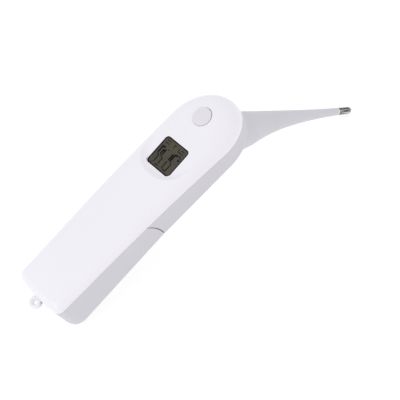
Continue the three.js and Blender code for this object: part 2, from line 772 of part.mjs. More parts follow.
const strips = [
  ["zebra_strip_tail", STRIP_TAIL_X],
  ["zebra_strip_head", STRIP_HEAD_X],
];
for (const [name, x] of strips) {
  const ends = [-STRIP_HALF_LENGTH, STRIP_HALF_LENGTH];
  const heights = [BOARD_TOP + SEATING_GAP, panelFoot - SEATING_GAP];
  const strip = box(-STRIP_HALF_WIDTH, STRIP_HALF_WIDTH, ...ends, ...heights);
  add(face, name, strip, RUBBER_BLACK, [x, 0, 0]);
}

const boardShape = new THREE.Shape();
boardShape.moveTo(BOARD_TAIL, -BOARD_HALF_WIDTH);
boardShape.lineTo(BOARD_HEAD, -BOARD_HALF_WIDTH);
boardShape.absarc(BOARD_HEAD, 0, BOARD_HALF_WIDTH, -Math.PI / 2, Math.PI / 2);
boardShape.lineTo(BOARD_TAIL, BOARD_HALF_WIDTH);
const boardFoot = BOARD_TOP - BOARD_THICKNESS;
const board = plate(boardShape, boardFoot, BOARD_TOP, 8);
const boardNotches = [-1, 1].map((side) => {
  const y = side * BOARD_NOTCH_Y;
  return bar(BOARD_NOTCH_X, y, boardFoot - 1, BOARD_TOP + 1, BOARD_NOTCH_RADIUS, 16);
});
add(face, "circuit_board", cut(board, ...boardNotches), BOARD_GREEN);

const chip = turned(CHIP_PROFILE, 20);
add(face, "controller_chip", chip, EPOXY_BLACK, [CHIP_X, 0, boardFoot - SEATING_GAP]);

const buzzer = turned(
  [
    [0, BUZZER_PORT_DEPTH - BUZZER_HEIGHT],
    [BUZZER_PORT_RADIUS, BUZZER_PORT_DEPTH - BUZZER_HEIGHT],
    [BUZZER_PORT_RADIUS, -BUZZER_HEIGHT],
    [BUZZER_RADIUS, -BUZZER_HEIGHT],
    [BUZZER_RADIUS, 0],
    [0, 0],
  ],
  24,
);
add(face, "buzzer", buzzer, EPOXY_BLACK, [BUZZER_X, 0, boardFoot - SEATING_GAP]);

const buttonPlace = [BUTTON_OFFSET, 0, 0];
add(face, "button_cap", buttonCap(), BUTTON_GREY, buttonPlace);
const switchTop = BOARD_TOP + SWITCH_HEIGHT;
const switchSides = [-SWITCH_HALF, SWITCH_HALF, -SWITCH_HALF, SWITCH_HALF];
const switchCase = box(...switchSides, BOARD_TOP + SEATING_GAP, switchTop);
const boreFloor = BOARD_TOP + SWITCH_BORE_FLOOR;
const switchBore = bar(0, 0, boreFloor, switchTop + 1, SWITCH_BORE_RADIUS, 16);
add(face, "switch_body", cut(switchCase, switchBore), EPOXY_BLACK, buttonPlace);
const plungerEnds = [BOARD_TOP + PLUNGER_FOOT, CAP_FOOT - PLUNGER_GAP];
const plunger = bar(0, 0, ...plungerEnds, PLUNGER_RADIUS, 16);
add(face, "switch_plunger", plunger, RUBBER_BLACK, buttonPlace);

// Battery compartment
add(handle, "battery_tray", batteryTray(), INNER_GREY);
const cellEnd = CELL_START + CELL_LENGTH;
add(handle, "battery_left", cell(), CELL_JACKET, [CELL_START, CELL_Y, CELL_Z]);
const cellRight = cell().rotateY(Math.PI);
add(handle, "battery_right", cellRight, CELL_JACKET, [cellEnd, -CELL_Y, CELL_Z]);
const springLeftX = CELL_START - SPRING_LENGTH - SPRING_GAP;
add(handle, "contact_spring_left", contactSpring(), NICKEL, [springLeftX, CELL_Y, CELL_Z]);
const springRight = contactSpring().rotateY(Math.PI);
const springRightX = cellEnd + SPRING_LENGTH + SPRING_GAP;
add(handle, "contact_spring_right", springRight, NICKEL, [springRightX, -CELL_Y, CELL_Z]);

function contactPlate(x, y0, y1) {
  return box(x, x + PLATE_THICKNESS, y0, y1, CELL_Z - PLATE_HALF, CELL_Z + PLATE_HALF);
}
const tailPlateX = springLeftX - PLATE_THICKNESS - SPRING_GAP;
const headPlateX = springRightX + 0.5 * SPRING_GAP;
const bridge = contactPlate(tailPlateX, -BRIDGE_HALF, BRIDGE_HALF);
const bridgeBump = bar(0, 0, 0, BUMP_LENGTH, BUMP_RADIUS, 14).rotateY(Math.PI / 2);
bridgeBump.translate(tailPlateX, -CELL_Y, CELL_Z);
add(handle, "contact_bridge", join(bridge, bridgeBump), NICKEL);
const negative = contactPlate(headPlateX, -CELL_Y - PLATE_HALF, -CELL_Y + PLATE_HALF);
add(handle, "contact_negative", negative, NICKEL);
const positive = contactPlate(headPlateX, CELL_Y - PLATE_HALF, CELL_Y + PLATE_HALF);
const headBumpStart = cellEnd + 5 * SPRING_GAP;
const headBumpLength = headPlateX + PLATE_THICKNESS - headBumpStart;
const headBump = bar(0, 0, 0, headBumpLength, BUMP_RADIUS, 14).rotateY(Math.PI / 2);
headBump.translate(headBumpStart, CELL_Y, CELL_Z);
add(handle, "contact_positive", join(positive, headBump), NICKEL);

// Fasteners: two hold the tray, two hold the rear housing
POSTS.forEach(([x, y], i) => {
  const seat = i < 2 ? TRAY_SEAT_Z : SCREW_SEAT_Z;
  add(handle, "case_screw_" + (i + 1), screw(), NICKEL, [x, y, seat - 0.3]);
});

// Probe
const sheathOuter = hornRings(0, NECK_LENGTH, NECK_STEPS);
const sheathInner = hornRings(NECK_WALL, NECK_LENGTH, NECK_STEPS).reverse();
add(handle, "probe_sheath", loft([...sheathOuter, ...sheathInner], true), GREY);

// A piece turned about the neck's straight end, its base at a length along the neck
function atNeck(mesh, length) {
  mesh.position.copy(neckPoint(length));
  mesh.rotation.y = neckHeading(length) + Math.PI / 2;
  return mesh;
}

const collar = turned(
  [
    [COLLAR_BORE, 0],
    [COLLAR_RADIUS, 0],
    [COLLAR_RADIUS, COLLAR_LENGTH - TIP_GAP],
    [COLLAR_BORE, COLLAR_LENGTH - TIP_GAP],
    [COLLAR_BORE, 0],
  ],
  16,
);
atNeck(add(handle, "tip_collar", collar, COLLAR_WHITE), NECK_LENGTH + TIP_GAP);

const TIP_BASE = NECK_LENGTH + COLLAR_LENGTH + TIP_GAP;
const domeSteps = 4;
const tipProfile = [[TIP_RADIUS - TIP_WALL, 0]];
for (let i = 0; i <= domeSteps; i++) {
  const angle = (i / domeSteps) * (Math.PI / 2);
  const z = TIP_LENGTH - TIP_RADIUS + TIP_RADIUS * Math.sin(angle);
  if (i === 0) tipProfile.push([TIP_RADIUS, 0]);
  tipProfile.push([TIP_RADIUS * Math.cos(angle), z]);
}
tipProfile.at(-1)[0] = 0;
const tipInner = TIP_RADIUS - TIP_WALL;
for (let i = domeSteps; i >= 0; i--) {
  const angle = (i / domeSteps) * (Math.PI / 2);
  const z = TIP_LENGTH - TIP_RADIUS + tipInner * Math.sin(angle);
  tipProfile.push([i === domeSteps ? 0 : tipInner * Math.cos(angle), z]);
}
tipProfile.push([tipInner, 0]);
atNeck(add(handle, "probe_tip", turned(tipProfile, 20), STEEL), TIP_BASE);

const bead = new THREE.SphereGeometry(BEAD_RADIUS, 14, 10);
const beadLength = TIP_BASE + TIP_LENGTH - TIP_RADIUS - 0.4;
atNeck(add(handle, "thermistor_bead", bead, CERAMIC), beadLength);

// Leads, in pairs on either side of the mid plane
function routePoints(route, side) {
  return route.map(([x, y, z]) => new THREE.Vector3(x, side * y, z));
}

// Sensor leads: from the circuit board, down through the horn and the neck, to the bead
for (const [name, side, material] of [
  ["sensor_lead_left", 1, WIRE_RED],
  ["sensor_lead_right", -1, WIRE_BLACK],
]) {
  const points = routePoints(SENSOR_ROUTE, side);
  const neckSamples = 8;
  for (let i = 0; i <= neckSamples; i++) {
    const point = neckPoint(lerp(0, beadLength - 1.5, i / neckSamples));
    point.y = side * lerp(SENSOR_WIRE_SPREAD, SENSOR_WIRE_SPACING, smooth(i, 0, 3));
    points.push(point);
  }
  add(handle, name, wireAlong(points, SENSOR_WIRE_RADIUS, 3, 36), material);
}

// Supply leads: from the head contacts to the circuit board
for (const [name, side, material] of [
  ["supply_lead_positive", 1, WIRE_RED],
  ["supply_lead_negative", -1, WIRE_BLACK],
]) {
  const points = routePoints(SUPPLY_ROUTE, side);
  add(handle, name, wireAlong(points, SUPPLY_WIRE_RADIUS, 3, 10), material);
}

// Resting pose: the pitch at which the battery cover and the tip reach equally low
function lowest(name, pitch) {
  const mesh = handle.getObjectByName(name);
  mesh.updateMatrix();
  const points = mesh.geometry.getAttribute("position");
  const point = new THREE.Vector3();
  let least = Infinity;
  for (let i = 0; i < points.count; i++) {
    point.fromBufferAttribute(points, i).applyMatrix4(mesh.matrix);
    least = Math.min(least, point.x * Math.sin(pitch) + point.z * Math.cos(pitch));
  }
  return least;
}
let flatter = 0;
let steeper = Math.PI / 4;
for (let i = 0; i < 40; i++) {
  const middle = (flatter + steeper) / 2;
  if (lowest("probe_tip", middle) < lowest("battery_cover", middle)) flatter = middle;
  else steeper = middle;
}
handle.rotation.y = -flatter;

const thermometer = new THREE.Group();
thermometer.add(handle);
thermometer.updateMatrixWorld(true);
const bounds = new THREE.Box3().setFromObject(thermometer, true);
const centre = bounds.getCenter(new THREE.Vector3());
handle.position.set(-centre.x, -centre.y, -bounds.min.z);

export default thermometer;
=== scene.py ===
"""Digital thermometer with a horn-shaped neck: the fine surfaces, materials, light and camera.

Shapes are worked out in the handle's own frame, in millimetres, with X from the tail to the head,
Y across and Z out of the front face, and are then placed in the row frame, in metres.
"""

import json
import math

import bmesh
import bpy
import numpy as np
from mathutils import Matrix, Vector


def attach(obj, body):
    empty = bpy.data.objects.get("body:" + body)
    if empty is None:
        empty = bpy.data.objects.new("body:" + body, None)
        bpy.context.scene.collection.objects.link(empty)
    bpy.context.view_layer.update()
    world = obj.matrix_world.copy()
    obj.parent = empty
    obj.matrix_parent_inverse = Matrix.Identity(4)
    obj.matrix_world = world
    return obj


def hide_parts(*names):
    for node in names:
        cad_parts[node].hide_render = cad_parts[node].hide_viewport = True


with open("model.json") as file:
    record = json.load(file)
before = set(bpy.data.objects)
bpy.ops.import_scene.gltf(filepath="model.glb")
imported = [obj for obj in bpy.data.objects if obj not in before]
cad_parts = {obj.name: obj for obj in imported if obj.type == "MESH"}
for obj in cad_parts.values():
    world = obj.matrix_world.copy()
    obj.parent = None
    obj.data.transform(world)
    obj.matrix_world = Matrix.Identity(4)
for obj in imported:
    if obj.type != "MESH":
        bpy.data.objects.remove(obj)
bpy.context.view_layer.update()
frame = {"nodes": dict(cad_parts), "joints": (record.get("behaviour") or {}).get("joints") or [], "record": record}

MM = 0.001
scene = bpy.context.scene

# ---------------------------------------------------------------- driving dimensions, mm
# Handle: outline, depth, and the line between the white cover and the grey shells
HANDLE_LENGTH = 137.6
TAIL_HALF_WIDTH = 17.3
TAIL_CORNER = 4.3
LEAST_CORNER = 2.4
LEAST_CORNER_SHARE = 0.3
TAIL_END = -0.8
TAIL_BOW = 0.8
HEAD_CENTRE = 113.5
HEAD_HALF_WIDTH = 20.35
HEAD_REACH = HANDLE_LENGTH - HEAD_CENTRE
PARTING_BEND_START = 32.0
PARTING_BEND = 5.9e-4
PARTING_LINE = 0.12
BACK_BEND = 63.0
BACK_CORNER = 8.0
BACK_FILLET = 4.0
DEPTH_TAIL = 21.8
DEPTH_HEAD = 17.2
WALL = 2.0
WALL_OVERLAP = 1.0
RIM_ROUND = 0.18
HOUSING_MOUNT_X = 80.0

# Front face: its rolled edge and the scooped flat for the display and the button
FACE_HEIGHT = 4.4
ROLL_TAIL = 7.1
ROLL_HEAD = 12.2
ROLL_START = 62.0
ROLL_END = 122.0
DISPLAY_X = 93.7
DISPLAY_Z = 2.48
DISPLAY_SLOPE = math.radians(3.78)
SCOOP_CENTRE = 101.6
SCOOP_RADIUS = 21.2
SCOOP_RAMP = 5.2
SCOOP_LIP = 2.9
SCOOP_LIP_POWER = 1.4
SCOOP_SOFTNESS = 0.25

# Steps of the handle's outline, and the insets of its rings from that outline
BOW_STEPS = 8
CORNER_STEPS = 8
SIDE_STEPS = 216
HEAD_STEPS = 56
FACE_MIDDLE = 16.4
FACE_RINGS = 45
FACE_RING_POWER = 1.5
COVER_INNER_INSETS = (3.2, 5, 8, 11, 14, FACE_MIDDLE)
OUTER_FILLET_STEPS = 10
INNER_FILLET_STEPS = 3
SEAM_SHADOW_FILLET_STEPS = 8

# Display window, lens, border and glass, with heights from the scooped flat
WINDOW_LENGTH = 17.0
WINDOW_WIDTH = 17.5
WINDOW_CORNER = 2.0
WINDOW_LEAST_CORNER = 0.8
WINDOW_SHIFT = 0.24
WINDOW_EDGE = 0.12
LENS_TOP = -0.05
LENS_THICKNESS = 0.15
LENS_GAP = 0.04
LENS_EDGE = 0.06
BORDER_WIDTH = 0.6
BORDER_THICKNESS = 0.08
BORDER_TOP = LENS_TOP - LENS_THICKNESS - 0.02
GLASS_TOP = BORDER_TOP - 0.1
GLASS_BOTTOM = -4.6
GLASS_EDGE = 0.02
STROKE_LIFT = 0.005
FINE_STROKE_HEIGHT = 0.02
DARK_STROKE_HEIGHT = 0.04

# Button and its hole, with heights from the scooped flat
BUTTON_PLACE = np.array((26.45, 0.5))
BUTTON_SHIFT = (-0.1, 0.03)
BUTTON_RADIUS = 5.15
BUTTON_HOLE = 5.28
BUTTON_HOLE_EDGE = 0.28
BUTTON_STAND = 0.6
BUTTON_EDGE = 0.42
BUTTON_EDGE_DROP = 0.05
BUTTON_DOME = 0.2
CAP_FLANGE_RADIUS = 6.6
CAP_FLANGE_THICKNESS = 0.5
CAP_SKIRT = 3.0
CAP_STEM_RADIUS = 1.4
CAP_FOOT = -3.6

# Lanyard eye
EYE_X = -3.9
EYE_RADIUS = 3.4
EYE_HOLE = 1.85
EYE_THROAT = 1.15
EYE_THROAT_DEPTH = 1.0
EYE_CHAMFER = 0.3
EYE_ROUND = 0.45
EYE_SIDE_ROUND = 0.5
EYE_TOP = -0.4
EYE_THICKNESS = 2.8
EYE_BOTTOM = EYE_TOP - EYE_THICKNESS
EYE_NECK = 3.0
EYE_NECK_OUT = 0.6

# Seam between the two grey shells, and the black strip in it that is painted shadow in the gap
SEAM_X = 42.0
SEAM_Z = -14.0
SEAM_RADIUS = 22.8
SEAM_END = SEAM_X + SEAM_RADIUS
SEAM_FOOT_BACK = 1.5
SEAM_FOOT_DROP = 2.0
SEAM_STEPS = 24
SEAM_GAP = 0.46
SEAM_SHADOW_DEPTH = 0.45
SEAM_SHADOW_INNER_GAP = 0.1
SEAM_SHADOW_GAP = 0.02
CUTTER_REACH = 40
CUTTER_LOW = -60
CUTTER_HIGH = 20

# Battery cover: the tongue that goes into the housing, the notch round the eye, the thumb ridges
TONGUE_HALF_WIDTH = 2.2
TONGUE_TOP = -13.4
TONGUE_THICKNESS = 1.4
TONGUE_REACH = 5.0
TONGUE_ROOT = 3.0
TONGUE_ROOT_SETBACK = 0.7
TONGUE_ROOT_OVERLAP = 0.5
NOTCH_SIDE_GAP = 0.5
NOTCH_LOW_GAP = 0.4
RIDGES = 6
RIDGE_START = 46.0
RIDGE_PITCH = 1.9
RIDGE_LENGTH = 15.0
RIDGE_SHORTENING = 0.5
RIDGE_HALF_WIDTH = 0.55
RIDGE_HEIGHT = 0.4
RIDGE_ROOT = 0.5
RIDGE_END_HEIGHT = 0.25
RIDGE_STATIONS = (-0.5, -0.47, 0.47, 0.5)

# Screw seats and posts of the rear housing
SCREW_X = 72.0
SCREW_Y = 14.0
SCREW_SEAT = -8.0
SEAT_MOUTH = 3.4
SEAT_RADIUS = 2.7
SEAT_SIDES = 40
POST_RADIUS = 3.4
POST_TOP = -4.2

# Horn-shaped neck: round sections along a bending line, and its root, which starts inside the housing
NECK_START = (135.7, -30.7)
NECK_ANGLE = math.radians(40.79)
NECK_BEND = math.radians(9.7)
NECK_BEND_LENGTH = 27.0
NECK_BEND_POWER = 1.3
NECK_END_RADIUS = 1.0
NECK_FLARE = 8.35
NECK_FLARE_LENGTH = 36.6
NECK_WALL = 1.1
NECK_LENGTH = 75.0
NECK_STEP = 0.25
NECK_RINGS = 90
NECK_RING_POWER = 1.1
ROOT_Z = -13.0
ROOT_HEAD_X = 134.4
ROOT_TAIL_X = 93.0
ROOT_HALF_WIDTH = 12.2
ROOT_HEAD_MID = (136.6, -17.4)
ROOT_TAIL_MID = (112.6, -27.0)
ROOT_WIDTH_EASE = (-0.1, 1.1)
ROOT_RINGS = 20
HORN_SIDES = 72
HORN_GAP = 0.16
HORN_CUT_LENGTH = 30
HORN_CUT_RINGS = 20

# Light ring and metal tip
COLLAR_LENGTH = 1.0
COLLAR_RADIUS = 2.05
COLLAR_BORE = 0.85
COLLAR_EDGE = 0.12
TIP_RADIUS = 2.1
TIP_LENGTH = 12.1
TIP_WALL = 0.35
TIP_NOSE = 1.9
TIP_GAP = 0.15
TIP_EDGE = 0.1
TIP_GROOVE_DEPTH = 0.07

# Camera, placed and turned in the handle's frame
FOCAL = 102.06
SENSOR_WIDTH = 36
CAMERA_PLACE = (36.18, -332.225, 459.179)
CAMERA_FORWARD = (0.09301, 0.54714, -0.83186)
CAMERA_RIGHT = (0.68419, -0.64210, -0.34583)

# Floor and light in the row frame, in metres
FLOOR_HALF = 3.0
FLOOR_DROP = 0.0002
BRIGHT_SIDE = (0, -0.45, 0.9)
KEY_PLACE = (-1.25, 0.35, 0.75)
KEY_TARGET = (0, 0, 0.04)


# ---------------------------------------------------------------- frames
def frame_matrix(origin, along, across, out):
    """Millimetres in a local frame to metres in the row frame."""
    m = Matrix((along * MM, across * MM, out * MM)).transposed().to_4x4()
    m.translation = origin
    return m


joints = {j["name"]: j for j in frame["joints"]}
mounts = {m["name"]: m for m in frame["record"]["mounts"]}
ALONG = -Vector(joints["battery_cover_slide"]["axis"]).normalized()
ACROSS = Vector((0, 1, 0))
OUT = ALONG.cross(ACROSS)
mount_point = Vector(mounts["housing_back_face"]["pos_m"])
ORIGIN = mount_point - ALONG * HOUSING_MOUNT_X * MM + OUT * DEPTH_HEAD * MM
HANDLE = frame_matrix(ORIGIN, ALONG, ACROSS, OUT)

# The scooped flat's frame: its origin at the display, Z out of the flat along the button's travel
FACE_OUT = -Vector(joints["power_button"]["axis"]).normalized()
FACE_ORIGIN = HANDLE @ Vector((DISPLAY_X, 0, DISPLAY_Z))
FACE = frame_matrix(FACE_ORIGIN, ACROSS.cross(FACE_OUT), ACROSS, FACE_OUT)


# ---------------------------------------------------------------- meshes
def grid_faces(rows, columns, close_rows=False):
    """Quads between neighbouring rings of points. Each ring is closed; close_rows joins last to first."""
    faces = []
    last = rows if close_rows else rows - 1
    for j in range(last):
        here, after = j * columns, ((j + 1) % rows) * columns
        for i in range(columns):
            k = (i + 1) % columns
            faces.append((here + i, here + k, after + k, after + i))
    return faces


def cap_faces(base, n, forward):
    """Closes a ring whose point k faces point n - k across it, by strips."""
    faces = []
    for i in range(n // 2):
        corners = []
        for c in (i, i + 1, n - i - 1, (n - i) % n):
            if base + c not in corners:
                corners.append(base + c)
        if len(corners) > 2:
            faces.append(tuple(corners if forward else reversed(corners)))
    return faces


def solid(rings):
    """The solid through rings of equally many points, with its ends closed by strips."""
    n = len(rings[0])
    faces = grid_faces(len(rings), n)
    faces += cap_faces(0, n, False)
    faces += cap_faces((len(rings) - 1) * n, n, True)
    return np.concatenate(rings), faces


def loop_solid(rings):
    """The solid through rings of equally many points, whose last ring joins the first."""
    return np.concatenate(rings), grid_faces(len(rings), len(rings[0]), True)


def flat_ended(rings):
    """The solid through rings of equally many points, with each end closed by one flat face."""
    n = len(rings[0])
    faces = grid_faces(len(rings), n)
    faces.append(tuple(range(n - 1, -1, -1)))
    faces.append(tuple(range((len(rings) - 1) * n, len(rings) * n)))
    return np.concatenate(rings), faces


def at_height(flat, z):
    return np.column_stack([flat, np.full(len(flat), z)])


def slab(outline_points, z0, z1):
    """A plate of the given outline (n x 2) from z0 to z1."""
    return flat_ended([at_height(outline_points, z0), at_height(outline_points, z1)])


def block(x0, x1, y0, y1, z0, z1):
    return slab(np.array([(x0, y0), (x1, y0), (x1, y1), (x0, y1)], float), z0, z1)


def turned(profile, sides):
    """A closed solid turned about Z from (radius, z) points, whose ends are on the axis or joined up."""
    angle = np.arange(sides) * 2 * math.pi / sides
    points, faces, rows = [], [], []
    for radius, z in profile:
        if radius < 1e-6:
            rows.append([len(points)])
            points.append((0, 0, z))
        else:
            rows.append(list(range(len(points), len(points) + sides)))
            points += [(radius * math.cos(a), radius * math.sin(a), z) for a in angle]
    pairs = list(zip(rows, rows[1:]))
    if len(rows[0]) > 1 and len(rows[-1]) > 1:
        pairs.append((rows[-1], rows[0]))
    for a, b in pairs:
        for i in range(sides):
            k = (i + 1) % sides
            quad = [a[i % len(a)], a[k % len(a)], b[k % len(b)], b[i % len(b)]]
            quad = list(dict.fromkeys(quad))
            if len(quad) > 2:
                faces.append(tuple(quad))
    return np.array(points, float), faces


def moved(shape, x, y, z=0):
    points, faces = shape
    return points + (x, y, z), faces


def mesh_object(name, shape, matrix=HANDLE):
    """A mesh object in the row frame from points in a local frame, with its faces turned outwards."""
    points, faces = shape
    mesh = bpy.data.meshes.new(name)
    mesh.from_pydata([tuple(matrix @ Vector(p)) for p in points], [], faces)
    bm = bmesh.new()
    bm.from_mesh(mesh)
    bmesh.ops.remove_doubles(bm, verts=bm.verts, dist=1e-7)
    bmesh.ops.recalc_face_normals(bm, faces=bm.faces)
    bm.to_mesh(mesh)
    bm.free()
    obj = bpy.data.objects.new(name, mesh)
    scene.collection.objects.link(obj)
    return obj


def boolean(obj, other, operation):
    """Cuts, joins or crosses obj with other, and removes other."""
    mod = obj.modifiers.new("boolean", "BOOLEAN")
    mod.operation = operation
    mod.solver = "EXACT"
    mod.object = other
    graph = bpy.context.evaluated_depsgraph_get()
    made = bpy.data.meshes.new_from_object(obj.evaluated_get(graph))
    obj.modifiers.clear()
    old = obj.data
    obj.data = made
    bpy.data.meshes.remove(old)
    bpy.data.objects.remove(other)
    return obj


def cut(obj, *others):
    for other in others:
        boolean(obj, other, "DIFFERENCE")
    return obj


def join(obj, *others):
    for other in others:
        boolean(obj, other, "UNION")
    return obj


def shade(obj, sharp):
    """Smooth shading that breaks at edges sharper than the given angle in degrees."""
    bm = bmesh.new()
    bm.from_mesh(obj.data)
    limit = math.radians(sharp)
    for edge in bm.edges:
        edge.smooth = len(edge.link_faces) == 2 and edge.calc_face_angle(0) < limit
    for face in bm.faces:
        face.smooth = True
    bm.to_mesh(obj.data)
    bm.free()
    mod = obj.modifiers.new("weighted normals", "WEIGHTED_NORMAL")
    mod.keep_sharp = True


def finish_piece(obj, material, body, replaced=(), sharp=34):
    """Gives a piece its material, its shading, its body and the CAD nodes it replaces."""
    obj.data.materials.clear()
    obj.data.materials.append(material)
    shade(obj, sharp)
    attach(obj, body)
    if replaced:
        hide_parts(*replaced)


# ---------------------------------------------------------------- the handle's surface
def lerp(a, b, t):
    return a + (b - a) * t


def smoothstep(x, low, high):
    t = np.clip((x - low) / (high - low), 0, 1)
    return t * t * (3 - 2 * t)


def half_width(x):
    return lerp(TAIL_HALF_WIDTH, HEAD_HALF_WIDTH, np.clip(x / HEAD_CENTRE, 0, 1))


def parting_height(x):
    return -PARTING_BEND * np.maximum(x - PARTING_BEND_START, 0) ** 2


def cover_rim(x):
    return parting_height(x) + PARTING_LINE / 2


def rear_rim(x):
    return parting_height(x) - PARTING_LINE / 2


def back_height(x):
    return -lerp(DEPTH_TAIL, DEPTH_HEAD, np.clip(x / BACK_BEND, 0, 1))


def roll_width(x):
    return lerp(ROLL_TAIL, ROLL_HEAD, smoothstep(x, ROLL_START, ROLL_END))


def scoop_height(x, y):
    """Height of the scooped flat, which climbs at its rim and rises steeply outside it."""
    plane = DISPLAY_Z + math.tan(DISPLAY_SLOPE) * (x - DISPLAY_X)
    inward = SCOOP_RADIUS - np.hypot(np.minimum(x - SCOOP_CENTRE, 0), y)
    climb = 1 - np.clip(inward / SCOOP_RAMP, 0, 1)
    outside = np.clip(-inward, 0, 1) * FACE_HEIGHT
    return plane + SCOOP_LIP * climb**SCOOP_LIP_POWER + outside


def soft_min(a, b, width):
    """The lower of two heights, with their crossing rounded over a small height."""
    h = np.clip(0.5 + 0.5 * (b - a) / width, 0, 1)
    return lerp(b, a, h) - width * h * (1 - h)


def cover_height(x, y, inset):
    """Height of the front face: flat with an elliptical roll down to the rim, and the scoop."""
    rim = parting_height(x)
    outward = 1 - np.clip(inset / roll_width(x), 0, 1)
    rolled = rim + (FACE_HEIGHT - rim) * np.sqrt(1 - outward**2)
    return soft_min(rolled, scoop_height(x, y), SCOOP_SOFTNESS)


def outline(inset, bow, corner):
    """The handle's outline, inset by a distance: one half from tail to head, and its mirror back."""
    least = min(LEAST_CORNER, LEAST_CORNER_SHARE * (TAIL_HALF_WIDTH - inset))
    radius = max(corner - inset, least)
    corner_x = TAIL_END + inset + radius
    corner_y = half_width(corner_x) - inset - radius
    share = np.arange(BOW_STEPS) / BOW_STEPS
    end = np.column_stack([TAIL_END + inset - bow * (1 - share**2), -share * corner_y])
    turn = np.linspace(0, math.pi / 2, CORNER_STEPS + 1)
    bend = np.column_stack([corner_x - radius * np.cos(turn), -corner_y - radius * np.sin(turn)])
    x = lerp(corner_x, HEAD_CENTRE, np.arange(1, SIDE_STEPS) / SIDE_STEPS)
    side = np.column_stack([x, inset - half_width(x)])
    turn = np.arange(HEAD_STEPS) / HEAD_STEPS * math.pi / 2
    head_x = HEAD_CENTRE + (HEAD_REACH - inset) * np.sin(turn)
    head = np.column_stack([head_x, (inset - HEAD_HALF_WIDTH) * np.cos(turn)])
    half = np.concatenate([end, bend, side, head])
    mirrored = half[1:][::-1] * (1, -1)
    return np.concatenate([half, [(HANDLE_LENGTH - inset, 0)], mirrored])


def ring(inset, height, bow=TAIL_BOW, corner=TAIL_CORNER):
    """The inset outline, each point at the height that height(x, y) gives."""
    flat = outline(inset, bow, corner)
    return np.column_stack([flat, height(flat[:, 0], flat[:, 1])])


def face_ring(inset, below=0):
    return ring(inset, lambda x, y: cover_height(x, y, inset) - below)


def rim_rings(inset, side, top_of, inward):
    """Two rings that round a shell's edge at the parting line; side is +1 for the cover, -1 below."""
    return [
        ring(inset, lambda x, y: top_of(x) + side * RIM_ROUND),
        ring(inset + inward * RIM_ROUND, lambda x, y: top_of(x)),
    ]


def fillet_rings(skin, steps, corner):
    """Rings from the back up to the side, at a depth skin below the rear shell's outer surface."""
    radius = BACK_FILLET - skin
    rings = []
    for i in range(steps + 1):
        angle = (steps - i) / steps * math.pi / 2
        inset = skin + radius * (1 - math.cos(angle))
        rise = skin + radius * (1 - math.sin(angle))
        rings.append(ring(inset, lambda x, y: back_height(x) + rise, 0, corner))
    return rings


def front_shell():
    eased = FACE_MIDDLE * (np.linspace(0, 1, FACE_RINGS + 1)[1:] ** FACE_RING_POWER)
    outer = [face_ring(inset) for inset in eased[::-1]] + rim_rings(0, 1, cover_rim, 1)
    inner = rim_rings(WALL, 1, cover_rim, -1)[::-1]
    inner += [face_ring(inset, WALL) for inset in COVER_INNER_INSETS]
    return solid(outer + inner)


def rear_shell():
    outer = fillet_rings(0, OUTER_FILLET_STEPS, BACK_CORNER) + rim_rings(0, -1, rear_rim, 1)
    inner = fillet_rings(WALL, INNER_FILLET_STEPS, TAIL_CORNER) + rim_rings(WALL, -1, rear_rim, -1)
    return solid(outer + inner[::-1])


def seam_shadow_shell():
    """The middle of the rear shell's wall, in which the seam's black strip of painted shadow lies."""
    layers = []
    for skin in (SEAM_SHADOW_DEPTH, WALL - SEAM_SHADOW_INNER_GAP):
        top = ring(skin, lambda x, y: parting_height(x) - PARTING_LINE)
        layers.append(fillet_rings(skin, SEAM_SHADOW_FILLET_STEPS, BACK_CORNER) + [top])
    return solid(layers[0] + layers[1][::-1])


def seam_cutter(offset):
    """Everything on the tail side of the battery cover's curved seam."""
    radius = SEAM_RADIUS + offset
    reach = math.sqrt(radius**2 - SEAM_Z**2)
    start = math.atan2(-SEAM_Z, reach)
    foot = SEAM_X + radius
    points = [(-CUTTER_REACH, CUTTER_LOW), (foot - SEAM_FOOT_BACK, CUTTER_LOW)]
    points.append((foot, SEAM_Z - SEAM_FOOT_DROP))
    for i in range(SEAM_STEPS + 1):
        angle = start * i / SEAM_STEPS
        points.append((SEAM_X + radius * math.cos(angle), SEAM_Z + radius * math.sin(angle)))
    points += [(SEAM_X + reach, CUTTER_HIGH), (-CUTTER_REACH, CUTTER_HIGH)]
    flat, faces = slab(np.array(points), -CUTTER_REACH, CUTTER_REACH)
    return mesh_object("seam", (flat[:, [0, 2, 1]], faces))


# ---------------------------------------------------------------- the horn-shaped neck
def neck_heading(length):
    share = 1 - math.exp(-((max(length, 0) / NECK_BEND_LENGTH) ** NECK_BEND_POWER))
    return NECK_ANGLE + NECK_BEND * share


def neck_line():
    """Points of the neck's centreline, NECK_STEP apart, from its first round section to the tip."""
    x, z = NECK_START
    points = [(x, z)]
    for i in range(int((NECK_LENGTH + COLLAR_LENGTH + TIP_LENGTH) / NECK_STEP) + 1):
        heading = neck_heading((i + 0.5) * NECK_STEP)
        x += NECK_STEP * math.cos(heading)
        z -= NECK_STEP * math.sin(heading)
        points.append((x, z))
    return np.array(points)


NECK_LINE = neck_line()


def neck_point(length):
    at = length / NECK_STEP
    steps = np.arange(len(NECK_LINE))
    return np.array([np.interp(at, steps, NECK_LINE[:, 0]), 0, np.interp(at, steps, NECK_LINE[:, 1])])


def neck_radius(length):
    return NECK_END_RADIUS + NECK_FLARE * math.exp(-length / NECK_FLARE_LENGTH)


def neck_edges(length):
    """The neck's two edges in the mid plane, on the head's side and on the tail's."""
    heading = neck_heading(length)
    out = np.array([math.sin(heading), 0, math.cos(heading)])
    centre = neck_point(length)
    return centre + out * neck_radius(length), centre - out * neck_radius(length)


def bezier(a, b, c, t):
    return a * (1 - t) ** 2 + 2 * b * t * (1 - t) + c * t * t


